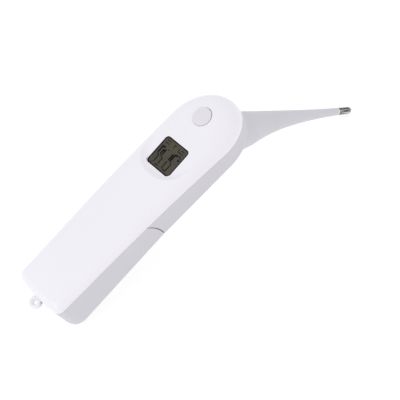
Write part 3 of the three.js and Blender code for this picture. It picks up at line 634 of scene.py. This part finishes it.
def horn_ring(head_side, tail_side, width, inset):
    """An oval between the two edges, inset by a distance."""
    centre = (head_side + tail_side) / 2
    reach = head_side - centre
    length = np.linalg.norm(reach)
    reach = reach * (length - inset) / length
    angle = np.arange(HORN_SIDES) / HORN_SIDES * 2 * math.pi
    points = centre + np.outer(np.cos(angle), reach)
    points[:, 1] = -(width - inset) * np.sin(angle)
    return points


def mid_plane(x, z):
    return np.array([x, 0, z])


def horn_rings(inset, end_length, steps=NECK_RINGS):
    """Rings of the horn, from its root inside the housing to a length along the neck."""
    head_end, tail_end = neck_edges(0)
    head_root, tail_root = mid_plane(ROOT_HEAD_X, ROOT_Z), mid_plane(ROOT_TAIL_X, ROOT_Z)
    head_mid, tail_mid = mid_plane(*ROOT_HEAD_MID), mid_plane(*ROOT_TAIL_MID)
    rings = []
    for i in range(ROOT_RINGS):
        t = i / ROOT_RINGS
        width = lerp(ROOT_HALF_WIDTH, neck_radius(0), float(smoothstep(t, *ROOT_WIDTH_EASE)))
        head_side = bezier(head_root, head_mid, head_end, t)
        tail_side = bezier(tail_root, tail_mid, tail_end, t)
        rings.append(horn_ring(head_side, tail_side, width, inset))
    for i in range(steps + 1):
        length = end_length * (i / steps) ** NECK_RING_POWER
        head_side, tail_side = neck_edges(length)
        rings.append(horn_ring(head_side, tail_side, neck_radius(length), inset))
    return rings


def neck_matrix(length):
    """The frame of a piece turned about the neck's end, at a length along the neck."""
    heading = neck_heading(length)
    point = neck_point(length)
    along = HANDLE.to_3x3() @ Vector((math.cos(heading), 0, -math.sin(heading)))
    along = along.normalized()
    return frame_matrix(HANDLE @ Vector(point), ACROSS.cross(along), ACROSS, along)


TIP_ALONG = (neck_matrix(NECK_LENGTH + TIP_LENGTH).to_3x3() @ Vector((0, 0, 1))).normalized()
TIP_DROP = math.atan2(-TIP_ALONG.z, TIP_ALONG.x)


# ---------------------------------------------------------------- materials
class Nodes:
    """A material's node tree, built by short calls."""

    def __init__(self, name):
        self.material = bpy.data.materials.new(name)
        self.material.use_nodes = True
        self.tree = self.material.node_tree
        self.shader = self.tree.nodes["Principled BSDF"]
        self.place = self.tree.nodes.new("ShaderNodeTexCoord").outputs["Object"]

    def add(self, kind, **inputs):
        node = self.tree.nodes.new("ShaderNode" + kind)
        for name, value in inputs.items():
            socket = node.inputs[name.replace("_", " ")]
            if isinstance(value, bpy.types.NodeSocket):
                self.tree.links.new(value, socket)
            else:
                socket.default_value = value
        return node

    def link(self, output, name):
        self.tree.links.new(output, self.shader.inputs[name])

    def set(self, **values):
        for name, value in values.items():
            self.shader.inputs[name.replace("_", " ")].default_value = value

    def noise(self, size, detail=3.0, roughness=0.5, drawn=(1, 1, 1), turn=0.0):
        """Noise with features size millimetres across, drawn out along axes turned about Y."""
        mapping = self.add("Mapping", Vector=self.place, Rotation=(0, turn, 0), Scale=drawn)
        mapping.vector_type = "TEXTURE"
        scale = 1 / (size * MM)
        args = {"Vector": mapping.outputs[0], "Scale": scale, "Detail": detail}
        return self.add("TexNoise", **args, Roughness=roughness).outputs["Fac"]

    def ramp(self, factor, low, high, start=0.35, end=0.65):
        """A colour between low and high, following factor."""
        node = self.add("ValToRGB", Fac=factor)
        for element, at, colour in zip(node.color_ramp.elements, (start, end), (low, high)):
            element.position = at
            element.color = (*colour, 1)
        return node.outputs["Color"]

    def span(self, factor, low, high, start=0.3, end=0.7):
        """A number between low and high, following factor."""
        args = {"Value": factor, "From_Min": start, "From_Max": end, "To_Min": low, "To_Max": high}
        return self.add("MapRange", **args).outputs["Result"]

    def mix(self, factor, a, b):
        """The colours a and b mixed by factor, where each may be a value or an output."""
        node = self.tree.nodes.new("ShaderNodeMix")
        node.data_type = "RGBA"
        for socket, value in zip((node.inputs[0], node.inputs[6], node.inputs[7]), (factor, a, b)):
            if isinstance(value, bpy.types.NodeSocket):
                self.tree.links.new(value, socket)
            elif socket.type == "RGBA":
                socket.default_value = (*value, 1)
            else:
                socket.default_value = value
        return node.outputs[2]

    def bump(self, height, depth, normal=None):
        """Bumps of depth millimetres, over those of normal."""
        args = {"Height": height, "Distance": depth * MM}
        if normal is not None:
            args["Normal"] = normal
        return self.add("Bump", **args).outputs[0]

    def edges(self, start, end):
        """From 0 on flat surfaces to 1 on convex edges."""
        pointiness = self.tree.nodes.new("ShaderNodeNewGeometry").outputs["Pointiness"]
        return self.span(pointiness, 0.0, 1.0, start, end)


def scaled(colour, factor):
    return tuple(c * factor for c in colour)


def moulded_plastic(name, colour, roughness, grain, grain_size, coat=0.0, mottle=0.03):
    """Injection-moulded plastic: faint flow mottling, an uneven gloss, fine grain, rubbed edges."""
    n = Nodes(name)
    cloud = n.noise(38, 2)
    speck = n.noise(0.5, 4, 0.6)
    flow = n.noise(9, 3, 0.55, (3, 1, 1))
    tone = n.ramp(cloud, scaled(colour, 1 - mottle), scaled(colour, 1 + mottle * 0.6))
    tone = n.mix(n.span(speck, 0.0, 0.35), tone, scaled(colour, 0.985))
    tone = n.mix(n.edges(0.505, 0.58), tone, scaled(colour, 1.035))
    n.link(tone, "Base Color")
    smudge = n.mix(0.4, flow, n.noise(1.7, 5, 0.62))
    n.link(n.span(smudge, roughness - 0.06, roughness + 0.09), "Roughness")
    ripple = n.bump(n.noise(14, 2), 0.02)
    n.link(n.bump(n.noise(grain_size, 3, 0.65), grain, ripple), "Normal")
    n.set(Coat_Weight=coat, Coat_Roughness=0.12, IOR=1.5)
    return n.material


def plated_metal(name, colour, roughness, scratch):
    """Plated metal: fine scratches and dull blotches."""
    n = Nodes(name)
    lines = n.noise(scratch, 4, 0.7)
    blotch = n.noise(4, 3, 0.6)
    tone = n.ramp(blotch, scaled(colour, 0.93), scaled(colour, 1.05))
    tone = n.mix(n.span(lines, 0.0, 0.5), tone, scaled(colour, 0.9))
    n.link(tone, "Base Color")
    n.link(n.span(blotch, roughness, roughness + 0.06), "Roughness")
    n.link(n.bump(lines, 0.004), "Normal")
    n.set(Metallic=1.0)
    return n.material


def tip_material():
    """Drawn steel: long dark and bright streaks painted into its colour as reflections, and fine scratches along
    them.
    """
    n = Nodes("tip_steel")
    # Painted reflections: dark and bright streaks along the tip, as a dark and bright surrounding would mirror in
    # it
    painted_reflection_streaks = n.noise(0.7, 2, 0.5, (25, 1, 1), TIP_DROP)
    tone = n.ramp(painted_reflection_streaks, (0.04, 0.037, 0.035), (0.66, 0.65, 0.64), 0.44, 0.6)
    fine = n.noise(0.12, 3, 0.6, (6, 1, 1), TIP_DROP)
    n.link(n.mix(n.span(fine, 0.0, 0.35), tone, (0.2, 0.195, 0.19)), "Base Color")
    n.link(n.span(painted_reflection_streaks, 0.34, 0.2), "Roughness")
    n.link(n.bump(fine, 0.004), "Normal")
    n.set(Metallic=1.0)
    return n.material


def board_material():
    """Green solder mask over copper tracks."""
    n = Nodes("board_green")
    cells = n.add("TexVoronoi", Vector=n.place, Scale=1 / (2.2 * MM))
    cells.feature = "DISTANCE_TO_EDGE"
    track = n.span(cells.outputs["Distance"], 1.0, 0.0, 0.05, 0.09)
    n.link(n.mix(track, (0.02, 0.13, 0.05), (0.05, 0.24, 0.09)), "Base Color")
    n.link(n.bump(track, 0.03), "Normal")
    n.link(n.span(n.noise(2), 0.25, 0.4), "Roughness")
    return n.material


def lcd_material():
    """Reflective display glass: dark olive grey, a little uneven, with a satin polariser over it."""
    n = Nodes("lcd_glass")
    tone = n.ramp(n.noise(6, 3), (0.084, 0.076, 0.066), (0.096, 0.091, 0.063))
    n.link(n.mix(n.span(n.noise(0.5, 2), 0, 0.1), tone, (0.07, 0.066, 0.052)), "Base Color")
    n.link(n.span(n.noise(3), 0.3, 0.4), "Roughness")
    n.link(n.bump(n.noise(0.12, 2), 0.002), "Normal")
    n.set(Specular_IOR_Level=0.08)
    return n.material


def ink_material(name, colour):
    """Satin ink, a little uneven in tone and gloss."""
    n = Nodes(name)
    n.link(n.ramp(n.noise(0.4, 3), scaled(colour, 0.8), scaled(colour, 1.2)), "Base Color")
    n.link(n.span(n.noise(1.2), 0.3, 0.42), "Roughness")
    n.set(Specular_IOR_Level=0.03)
    return n.material


def lens_material():
    """Clear acrylic: mostly see-through, with a little gloss and faint smears."""
    n = Nodes("lens_clear")
    n.link(n.ramp(n.noise(5), (0.04, 0.039, 0.035), (0.06, 0.058, 0.05)), "Base Color")
    n.link(n.span(n.noise(2.5, 4), 0.05, 0.16), "Roughness")
    n.set(Alpha=0.06, Specular_IOR_Level=0.05)
    return n.material


# Each plastic's colour, roughness, grain depth and size in mm, clear coat and mottling
PLASTICS = {
    "cover_white": ((0.83, 0.815, 0.858), 0.34, 0.002, 0.35, 0.15, 0.012),
    "housing_grey": ((0.588, 0.58, 0.615), 0.46, 0.012, 0.22, 0.0, 0.02),
    "button_grey": ((0.72, 0.705, 0.735), 0.42, 0.006, 0.2, 0.0, 0.02),
    "inner_grey": ((0.42, 0.43, 0.44), 0.55, 0.01, 0.3),
    "collar_white": ((0.78, 0.77, 0.78), 0.4, 0.004, 0.2),
    "epoxy_black": ((0.022, 0.022, 0.024), 0.35, 0.02, 0.6),
    "rubber_black": ((0.03, 0.03, 0.031), 0.7, 0.02, 0.15),
    "wire_red": ((0.46, 0.03, 0.02), 0.4, 0.004, 0.1),
    "wire_black": ((0.02, 0.02, 0.022), 0.4, 0.004, 0.1),
    "ceramic": ((0.16, 0.07, 0.035), 0.35, 0.01, 0.2),
    "cell_jacket": ((0.07, 0.15, 0.3), 0.3, 0.002, 0.2, 0.5),
}
materials = {name: moulded_plastic(name, *look) for name, look in PLASTICS.items()}
materials["nickel"] = plated_metal("nickel", (0.62, 0.60, 0.55), 0.22, 0.4)
materials["tip_steel"] = tip_material()
materials["board_green"] = board_material()
materials["lcd_glass"] = lcd_material()
materials["lens_clear"] = lens_material()
DARK_INK = ink_material("lcd_ink", (0.003, 0.003, 0.003))
FAINT_INK = ink_material("lcd_faint_ink", (0.018, 0.016, 0.013))
BORDER_INK = ink_material("border_ink", (0.005, 0.004, 0.003))


# ---------------------------------------------------------------- cover, housing, battery cover
def window_outline(grow):
    """The display window's rounded rectangle, grown by a distance."""
    corner = max(WINDOW_CORNER + grow, WINDOW_LEAST_CORNER)
    flat_x = WINDOW_LENGTH / 2 + grow - corner
    flat_y = WINDOW_WIDTH / 2 + grow - corner
    steps = 10
    points = []
    for quarter, (sx, sy) in enumerate(((1, 1), (-1, 1), (-1, -1), (1, -1))):
        for i in range(steps + 1):
            angle = (quarter + i / steps) * math.pi / 2
            x = sx * flat_x + corner * math.cos(angle)
            y = sy * flat_y + corner * math.sin(angle) + WINDOW_SHIFT
            points.append((x, y))
    return np.array(points)


def circle(radius, steps=72):
    angle = np.arange(steps) / steps * 2 * math.pi
    return np.column_stack([radius * np.cos(angle), radius * np.sin(angle)])


def button_outline(grow):
    return circle(BUTTON_HOLE + grow) + BUTTON_PLACE


def eased_hole(outline_at, edge, depth=6.0, steps=5):
    """A cutter through the face whose mouth flares by edge, so that the hole gets a rounded rim."""
    rings = [at_height(outline_at(0.0), -depth)]
    for i in range(steps + 1):
        angle = i / steps * math.pi / 2
        grown = outline_at(edge * (1 - math.cos(angle)))
        rings.append(at_height(grown, edge * (math.sin(angle) - 1)))
    rings.append(at_height(outline_at(edge), depth))
    return mesh_object("hole", flat_ended(rings), FACE)


def make_eye():
    """The lanyard eye, whose hole narrows to a throat from both sides, on its short neck."""
    profile = [
        (EYE_THROAT, EYE_TOP - EYE_THROAT_DEPTH),
        (EYE_HOLE, EYE_TOP - EYE_CHAMFER),
        (EYE_HOLE + EYE_CHAMFER, EYE_TOP),
        (EYE_RADIUS - EYE_ROUND, EYE_TOP),
        (EYE_RADIUS - 0.1, EYE_TOP - 0.15),
        (EYE_RADIUS, EYE_TOP - EYE_SIDE_ROUND),
        (EYE_RADIUS, EYE_BOTTOM + EYE_SIDE_ROUND),
        (EYE_RADIUS - EYE_ROUND, EYE_BOTTOM),
        (EYE_HOLE + EYE_CHAMFER, EYE_BOTTOM),
        (EYE_HOLE, EYE_BOTTOM + EYE_CHAMFER),
        (EYE_THROAT, EYE_BOTTOM + EYE_THROAT_DEPTH),
    ]
    eye = mesh_object("eye", moved(turned(profile, 56), EYE_X, 0))
    tail, half = TAIL_END - TAIL_BOW, EYE_NECK / 2
    neck = block(tail - EYE_NECK_OUT, tail + WALL, -half, half, EYE_BOTTOM + 0.2, EYE_TOP - 0.1)
    return join(eye, mesh_object("eye_neck", neck))


def make_front_cover():
    cover = mesh_object("front_cover_shell", front_shell())
    eye = make_eye()
    tail, half = TAIL_END - TAIL_BOW, EYE_NECK / 2
    riser = mesh_object("riser", block(tail + 0.4, tail + WALL, -half, half, EYE_TOP - 1, 1))
    join(cover, eye, riser)
    window = eased_hole(window_outline, WINDOW_EDGE)
    button_hole = eased_hole(button_outline, BUTTON_HOLE_EDGE)
    cut(cover, join(button_hole, window))
    finish_piece(cover, materials["cover_white"], "handle", ["front_cover"])


def make_rear_housing():
    housing = mesh_object("rear_housing_shell", rear_shell())
    horn = solid(horn_rings(-HORN_GAP, HORN_CUT_LENGTH, HORN_CUT_RINGS))
    cutters = [seam_cutter(SEAM_GAP / 2), mesh_object("horn", horn)]
    seat = [
        (0, -DEPTH_HEAD - 2),
        (SEAT_MOUTH, -DEPTH_HEAD - 2),
        (SEAT_MOUTH, -DEPTH_HEAD - 0.001),
        (SEAT_RADIUS + 0.25, -DEPTH_HEAD + 0.12),
        (SEAT_RADIUS, -DEPTH_HEAD + 0.5),
        (SEAT_RADIUS, SCREW_SEAT),
        (0, SCREW_SEAT),
    ]
    for side in (-1, 1):
        place = (SCREW_X, side * SCREW_Y)
        cutters.append(mesh_object("seat", moved(turned(seat, SEAT_SIDES), *place)))
        post = slab(circle(POST_RADIUS, SEAT_SIDES) + place, WALL_OVERLAP - DEPTH_HEAD, POST_TOP)
        join(housing, mesh_object("post", post))
    cut(housing, *cutters)
    finish_piece(housing, materials["housing_grey"], "handle", ["rear_housing"])


def back_normal_frame(x):
    """The frame of the battery cover's sloping back at a place along it, with Z out of the back."""
    slope = (DEPTH_TAIL - DEPTH_HEAD) / BACK_BEND
    point = Vector((x, 0, float(back_height(x))))
    along = (HANDLE.to_3x3() @ Vector((1, 0, slope))).normalized()
    across = -ACROSS
    return frame_matrix(HANDLE @ point, along, across, along.cross(across))


def ridge_shape(length, steps=8):
    """A low half-round rib across the back, sunk a little into it."""
    half = RIDGE_HALF_WIDTH
    rings = []
    for end in RIDGE_STATIONS:
        height = RIDGE_HEIGHT * (RIDGE_END_HEIGHT if abs(end) == 0.5 else 1.0)
        points = []
        for i in range(steps + 1):
            angle = i / steps * math.pi
            points.append((half * math.cos(angle), end * length, height * math.sin(angle)))
        points += [(-half, end * length, -RIDGE_ROOT), (half, end * length, -RIDGE_ROOT)]
        rings.append(np.array(points))
    return flat_ended(rings)


def make_battery_cover():
    door = mesh_object("battery_cover_shell", rear_shell())
    boolean(door, seam_cutter(-SEAM_GAP / 2), "INTERSECT")
    half = EYE_RADIUS + NOTCH_SIDE_GAP
    cut(door, mesh_object("notch", block(-3, WALL + 1, -half, half, EYE_BOTTOM - NOTCH_LOW_GAP, 2)))
    start, half = SEAM_END - TONGUE_ROOT, TONGUE_HALF_WIDTH
    low = TONGUE_TOP - TONGUE_THICKNESS
    root_end, root_low = SEAM_END - TONGUE_ROOT_SETBACK, WALL_OVERLAP - DEPTH_HEAD
    tongue = block(start, SEAM_END + TONGUE_REACH, -half, half, low, TONGUE_TOP)
    root = block(start, root_end, -half, half, root_low, low + TONGUE_ROOT_OVERLAP)
    join(door, join(mesh_object("tongue", tongue), mesh_object("root", root)))
    for i in range(RIDGES):
        ridge = ridge_shape(RIDGE_LENGTH - RIDGE_SHORTENING * i)
        join(door, mesh_object("ridge", ridge, back_normal_frame(RIDGE_START + i * RIDGE_PITCH)))
    finish_piece(door, materials["housing_grey"], "battery_door", ["battery_cover"])


# A black strip in the seam's gap, in the black rubber material: painted shadow that darkens the gap
def make_seam_painted_shadow():
    shadow_strip = mesh_object("seam_painted_shadow", seam_shadow_shell())
    half = SEAM_GAP / 2 - SEAM_SHADOW_GAP
    boolean(shadow_strip, seam_cutter(half), "INTERSECT")
    cut(shadow_strip, seam_cutter(-half))
    finish_piece(shadow_strip, materials["rubber_black"], "handle")


# ---------------------------------------------------------------- display and button
# Strokes of the reading, as from and to (x, y) and width: x towards the head, y across.
DARK_STROKES = (
    (2.7, 7.3, 2.7, 4.8, 0.9),
    (2.7, 6.8, -1.3, 6.8, 0.9),
    (1.5, 5.0, -1.3, 5.0, 0.9),
    (1.2, 5.4, 1.2, 3.3, 0.9),
    (2.4, 3.7, -1.3, 3.7, 0.7),
    (2.5, -1.5, -1.3, -1.5, 1.0),
    (2.7, -2.7, -1.1, -2.7, 1.0),
    (3.0, -2.4, 3.0, -4.5, 0.9),
    (1.4, -5.7, 1.4, -7.1, 0.9),
)
FINE_STROKES = (
    (-1.4, 6.8, -2.5, 5.4, 0.6),
    (-2.3, 5.2, -6.6, 5.2, 0.8),
    (-1.5, 4.8, -2.4, 2.5, 0.6),
    (-2.2, 2.2, -5.8, 2.2, 0.8),
    (-6.8, 3.8, -6.8, 1.2, 0.6),
    (-2.1, -1.3, -6.7, -1.3, 0.8),
    (-1.2, -2.6, -2.3, -4.1, 0.6),
    (-2.1, -4.3, -6.5, -4.3, 0.8),
    (-6.7, -2.1, -6.7, -4.4, 0.7),
    (-7.2, 6.9, -7.2, 5.7, 0.6),
    (2.8, 2.9, 2.8, 2.0, 0.6),
    (3.4, -4.6, 3.6, -6.0, 0.6),
    (2.8, -6.0, 2.8, -6.9, 0.5),
    (6.6, 7.0, 6.6, 4.4, 0.5),
    (5.1, 7.2, 5.1, 4.4, 0.5),
    (6.5, 1.5, 6.5, 0.2, 0.8),
    (5.2, 1.6, 5.2, 0.7, 0.6),
    (6.5, -3.9, 6.5, -5.9, 0.5),
    (5.0, -2.4, 5.0, -6.0, 0.5),
    (6.6, -2.4, 5.0, -2.4, 0.5),
)


def window_plate(z0, z1, edge):
    """A plate that fills the window, less a small gap, with a rounded top edge."""
    rings = [at_height(window_outline(-LENS_GAP), z) for z in (z0, z1 - edge)]
    for i in range(1, 5):
        angle = i / 4 * math.pi / 2
        flat = window_outline(-LENS_GAP - edge * (1 - math.cos(angle)))
        rings.append(at_height(flat, z1 - edge + edge * math.sin(angle)))
    return flat_ended(rings)


def window_frame(width, z0, z1):
    """A flat frame inside the window's edge."""
    outer, inner = window_outline(-LENS_GAP), window_outline(-(LENS_GAP + width))
    layers = ((outer, z0), (outer, z1), (inner, z1), (inner, z0))
    return loop_solid([at_height(flat, z) for flat, z in layers])


def stroke_outline(x0, y0, x1, y1, width):
    along = np.array([x1 - x0, y1 - y0])
    side = np.array([-along[1], along[0]]) / np.linalg.norm(along) * width / 2
    start, end = np.array([x0, y0]), np.array([x1, y1])
    return np.array([start - side, end - side, end + side, start + side])


def stroke_marks(name, strokes, height):
    """Thin bars on the glass, all in one object."""
    low = GLASS_TOP + STROKE_LIFT
    points, faces = [], []
    for stroke in strokes:
        more, more_faces = slab(stroke_outline(*stroke), low, low + height)
        faces += [tuple(i + len(points) for i in face) for face in more_faces]
        points += [tuple(p) for p in more]
    return mesh_object(name, (np.array(points), faces), FACE)


def make_display():
    plate = window_plate(LENS_TOP - LENS_THICKNESS, LENS_TOP, LENS_EDGE)
    lens = mesh_object("display_lens_clear", plate, FACE)
    finish_piece(lens, materials["lens_clear"], "handle", ["display_lens"])
    lens.visible_shadow = False
    edging = window_frame(BORDER_WIDTH, BORDER_TOP - BORDER_THICKNESS, BORDER_TOP)
    border = mesh_object("display_border", edging, FACE)
    finish_piece(border, BORDER_INK, "handle")
    plate = window_plate(GLASS_BOTTOM, GLASS_TOP, GLASS_EDGE)
    glass = mesh_object("lcd_panel_glass", plate, FACE)
    finish_piece(glass, materials["lcd_glass"], "handle", ["lcd_panel"])
    fine = stroke_marks("lcd_fine_strokes", FINE_STROKES, FINE_STROKE_HEIGHT)
    finish_piece(fine, FAINT_INK, "handle")
    dark = stroke_marks("lcd_dark_strokes", DARK_STROKES, DARK_STROKE_HEIGHT)
    finish_piece(dark, DARK_INK, "handle")


def make_button():
    """The cap: a stem, a flange under the cover, and a low dome with a rounded edge."""
    top = BUTTON_STAND + BUTTON_DOME
    flange_top = -CAP_SKIRT + CAP_FLANGE_THICKNESS
    profile = [(0, CAP_FOOT), (CAP_STEM_RADIUS, CAP_FOOT), (CAP_STEM_RADIUS, -CAP_SKIRT)]
    profile += [(CAP_FLANGE_RADIUS, -CAP_SKIRT), (CAP_FLANGE_RADIUS, flange_top)]
    profile.append((BUTTON_RADIUS, flange_top))
    for i in range(7):
        angle = i / 6 * math.pi / 2
        radius = BUTTON_RADIUS - BUTTON_EDGE * (1 - math.cos(angle))
        drop = BUTTON_EDGE * (1 - math.sin(angle))
        profile.append((radius, BUTTON_STAND - BUTTON_EDGE_DROP - drop))
    for i in range(1, 9):
        radius = (BUTTON_RADIUS - BUTTON_EDGE) * (1 - i / 8)
        share = (radius / (BUTTON_RADIUS - BUTTON_EDGE)) ** 2
        profile.append((radius, top - (BUTTON_DOME + BUTTON_EDGE_DROP) * share))
    cap = moved(turned(profile, 96), *(BUTTON_PLACE + BUTTON_SHIFT))
    button = mesh_object("button_cap_moulded", cap, FACE)
    finish_piece(button, materials["button_grey"], "button", ["button_cap"])


# ---------------------------------------------------------------- probe
def make_sheath():
    outer = horn_rings(0, NECK_LENGTH)
    inner = horn_rings(NECK_WALL, NECK_LENGTH)[::-1]
    sheath = mesh_object("probe_sheath_horn", loop_solid(outer + inner))
    grey = materials["housing_grey"]
    finish_piece(sheath, grey, "handle", ["probe_sheath"], sharp=40)


def nose(radius, base, steps):
    """Points of a long rounded nose, from its base to the axis."""
    points = []
    for i in range(steps + 1):
        angle = i / steps * math.pi / 2
        across = radius * math.cos(angle) if i < steps else 0
        points.append((across, base + TIP_NOSE * radius * math.sin(angle)))
    return points


def make_tip():
    """The metal cap, a thin shell with one fine groove near its open end."""
    straight = TIP_LENGTH - TIP_NOSE * TIP_RADIUS
    inside = TIP_RADIUS - TIP_WALL
    groove = TIP_RADIUS - TIP_GROOVE_DEPTH
    profile = [(inside, 0), (TIP_RADIUS - TIP_EDGE, 0), (TIP_RADIUS, TIP_EDGE)]
    profile += [(TIP_RADIUS, 0.9), (groove, 1.0), (groove, 1.2), (TIP_RADIUS, 1.3)]
    profile += [(TIP_RADIUS, z) for z in np.linspace(2.2, straight - 0.4, 6)]
    profile += nose(TIP_RADIUS, straight, 16)
    profile += nose(inside, straight, 8)[::-1]
    place = neck_matrix(NECK_LENGTH + COLLAR_LENGTH + TIP_GAP)
    tip = mesh_object("probe_tip_cap", turned(profile, 72), place)
    finish_piece(tip, materials["tip_steel"], "handle", ["probe_tip"], sharp=50)


def make_collar():
    top = COLLAR_LENGTH - TIP_GAP
    profile = [
        (COLLAR_BORE, 0),
        (COLLAR_RADIUS - COLLAR_EDGE, 0),
        (COLLAR_RADIUS, COLLAR_EDGE),
        (COLLAR_RADIUS, top - COLLAR_EDGE),
        (COLLAR_RADIUS - COLLAR_EDGE, top),
        (COLLAR_BORE, top),
    ]
    collar = mesh_object("tip_collar_ring", turned(profile, 64), neck_matrix(NECK_LENGTH + TIP_GAP))
    finish_piece(collar, materials["collar_white"], "handle", ["tip_collar"])


# ---------------------------------------------------------------- build
make_front_cover()
make_rear_housing()
make_battery_cover()
make_seam_painted_shadow()
make_display()
make_button()
make_sheath()
make_tip()
make_collar()

slots = {s["node"]: s["material_slot"] for s in frame["record"]["subparts"]}
for name, node in frame["nodes"].items():
    node.data.materials.clear()
    node.data.materials.append(materials[slots[name]])


# ---------------------------------------------------------------- floor, light, camera
def make_floor():
    corners = [(-1, -1), (1, -1), (1, 1), (-1, 1)]
    mesh = bpy.data.meshes.new("floor")
    points = [(x * FLOOR_HALF, y * FLOOR_HALF, -FLOOR_DROP) for x, y in corners]
    mesh.from_pydata(points, [], [(0, 1, 2, 3)])
    floor = bpy.data.objects.new("floor", mesh)
    scene.collection.objects.link(floor)
    n = Nodes("floor")
    n.link(n.ramp(n.noise(60), (0.31, 0.31, 0.31), (0.33, 0.33, 0.33)), "Base Color")
    n.set(Roughness=0.9, Specular_IOR_Level=0.0, Emission_Strength=0.75)
    n.set(Emission_Color=(1, 1, 1, 1))
    mesh.materials.append(n.material)


def make_world():
    """Soft light from all round, brightest from above and from the camera's side."""
    world = bpy.data.worlds.new("studio")
    world.use_nodes = True
    tree = world.node_tree
    direction = tree.nodes.new("ShaderNodeTexCoord").outputs["Generated"]
    toward = tree.nodes.new("ShaderNodeVectorMath")
    toward.operation = "DOT_PRODUCT"
    tree.links.new(direction, toward.inputs[0])
    toward.inputs[1].default_value = BRIGHT_SIDE
    share = tree.nodes.new("ShaderNodeMapRange")
    tree.links.new(toward.outputs["Value"], share.inputs["Value"])
    share.inputs["From Min"].default_value = -0.5
    ramp = tree.nodes.new("ShaderNodeValToRGB")
    tree.links.new(share.outputs["Result"], ramp.inputs["Fac"])
    ramp.color_ramp.elements[0].color = (0.86, 0.86, 0.92, 1)
    ramp.color_ramp.elements[1].color = (1.015, 1.005, 1.01, 1)
    background = tree.nodes["Background"]
    tree.links.new(ramp.outputs["Color"], background.inputs["Color"])
    background.inputs["Strength"].default_value = 1.0
    scene.world = world


def make_softbox(name, place, target, size, power):
    light = bpy.data.lights.new(name, "AREA")
    light.shape = "DISK"
    light.size = size
    light.energy = power
    box = bpy.data.objects.new(name, light)
    scene.collection.objects.link(box)
    box.location = place
    box.rotation_mode = "QUATERNION"
    box.rotation_quaternion = (Vector(target) - Vector(place)).to_track_quat("-Z", "Y")


def make_camera():
    camera = bpy.data.cameras.new("camera")
    camera.lens = FOCAL
    camera.sensor_width = SENSOR_WIDTH
    camera.clip_start = 0.01
    camera.clip_end = 20
    holder = bpy.data.objects.new("camera", camera)
    scene.collection.objects.link(holder)
    turn = HANDLE.to_3x3()
    right = (turn @ Vector(CAMERA_RIGHT)).normalized()
    back = -(turn @ Vector(CAMERA_FORWARD)).normalized()
    up = back.cross(right)
    pose = Matrix((right, up, back)).transposed().to_4x4()
    pose.translation = HANDLE @ Vector(CAMERA_PLACE)
    holder.matrix_world = pose
    scene.camera = holder


make_floor()
make_world()
make_softbox("key", KEY_PLACE, KEY_TARGET, size=0.9, power=2.6)
make_camera()
scene.view_settings.view_transform = "Standard"
scene.view_settings.look = "None"
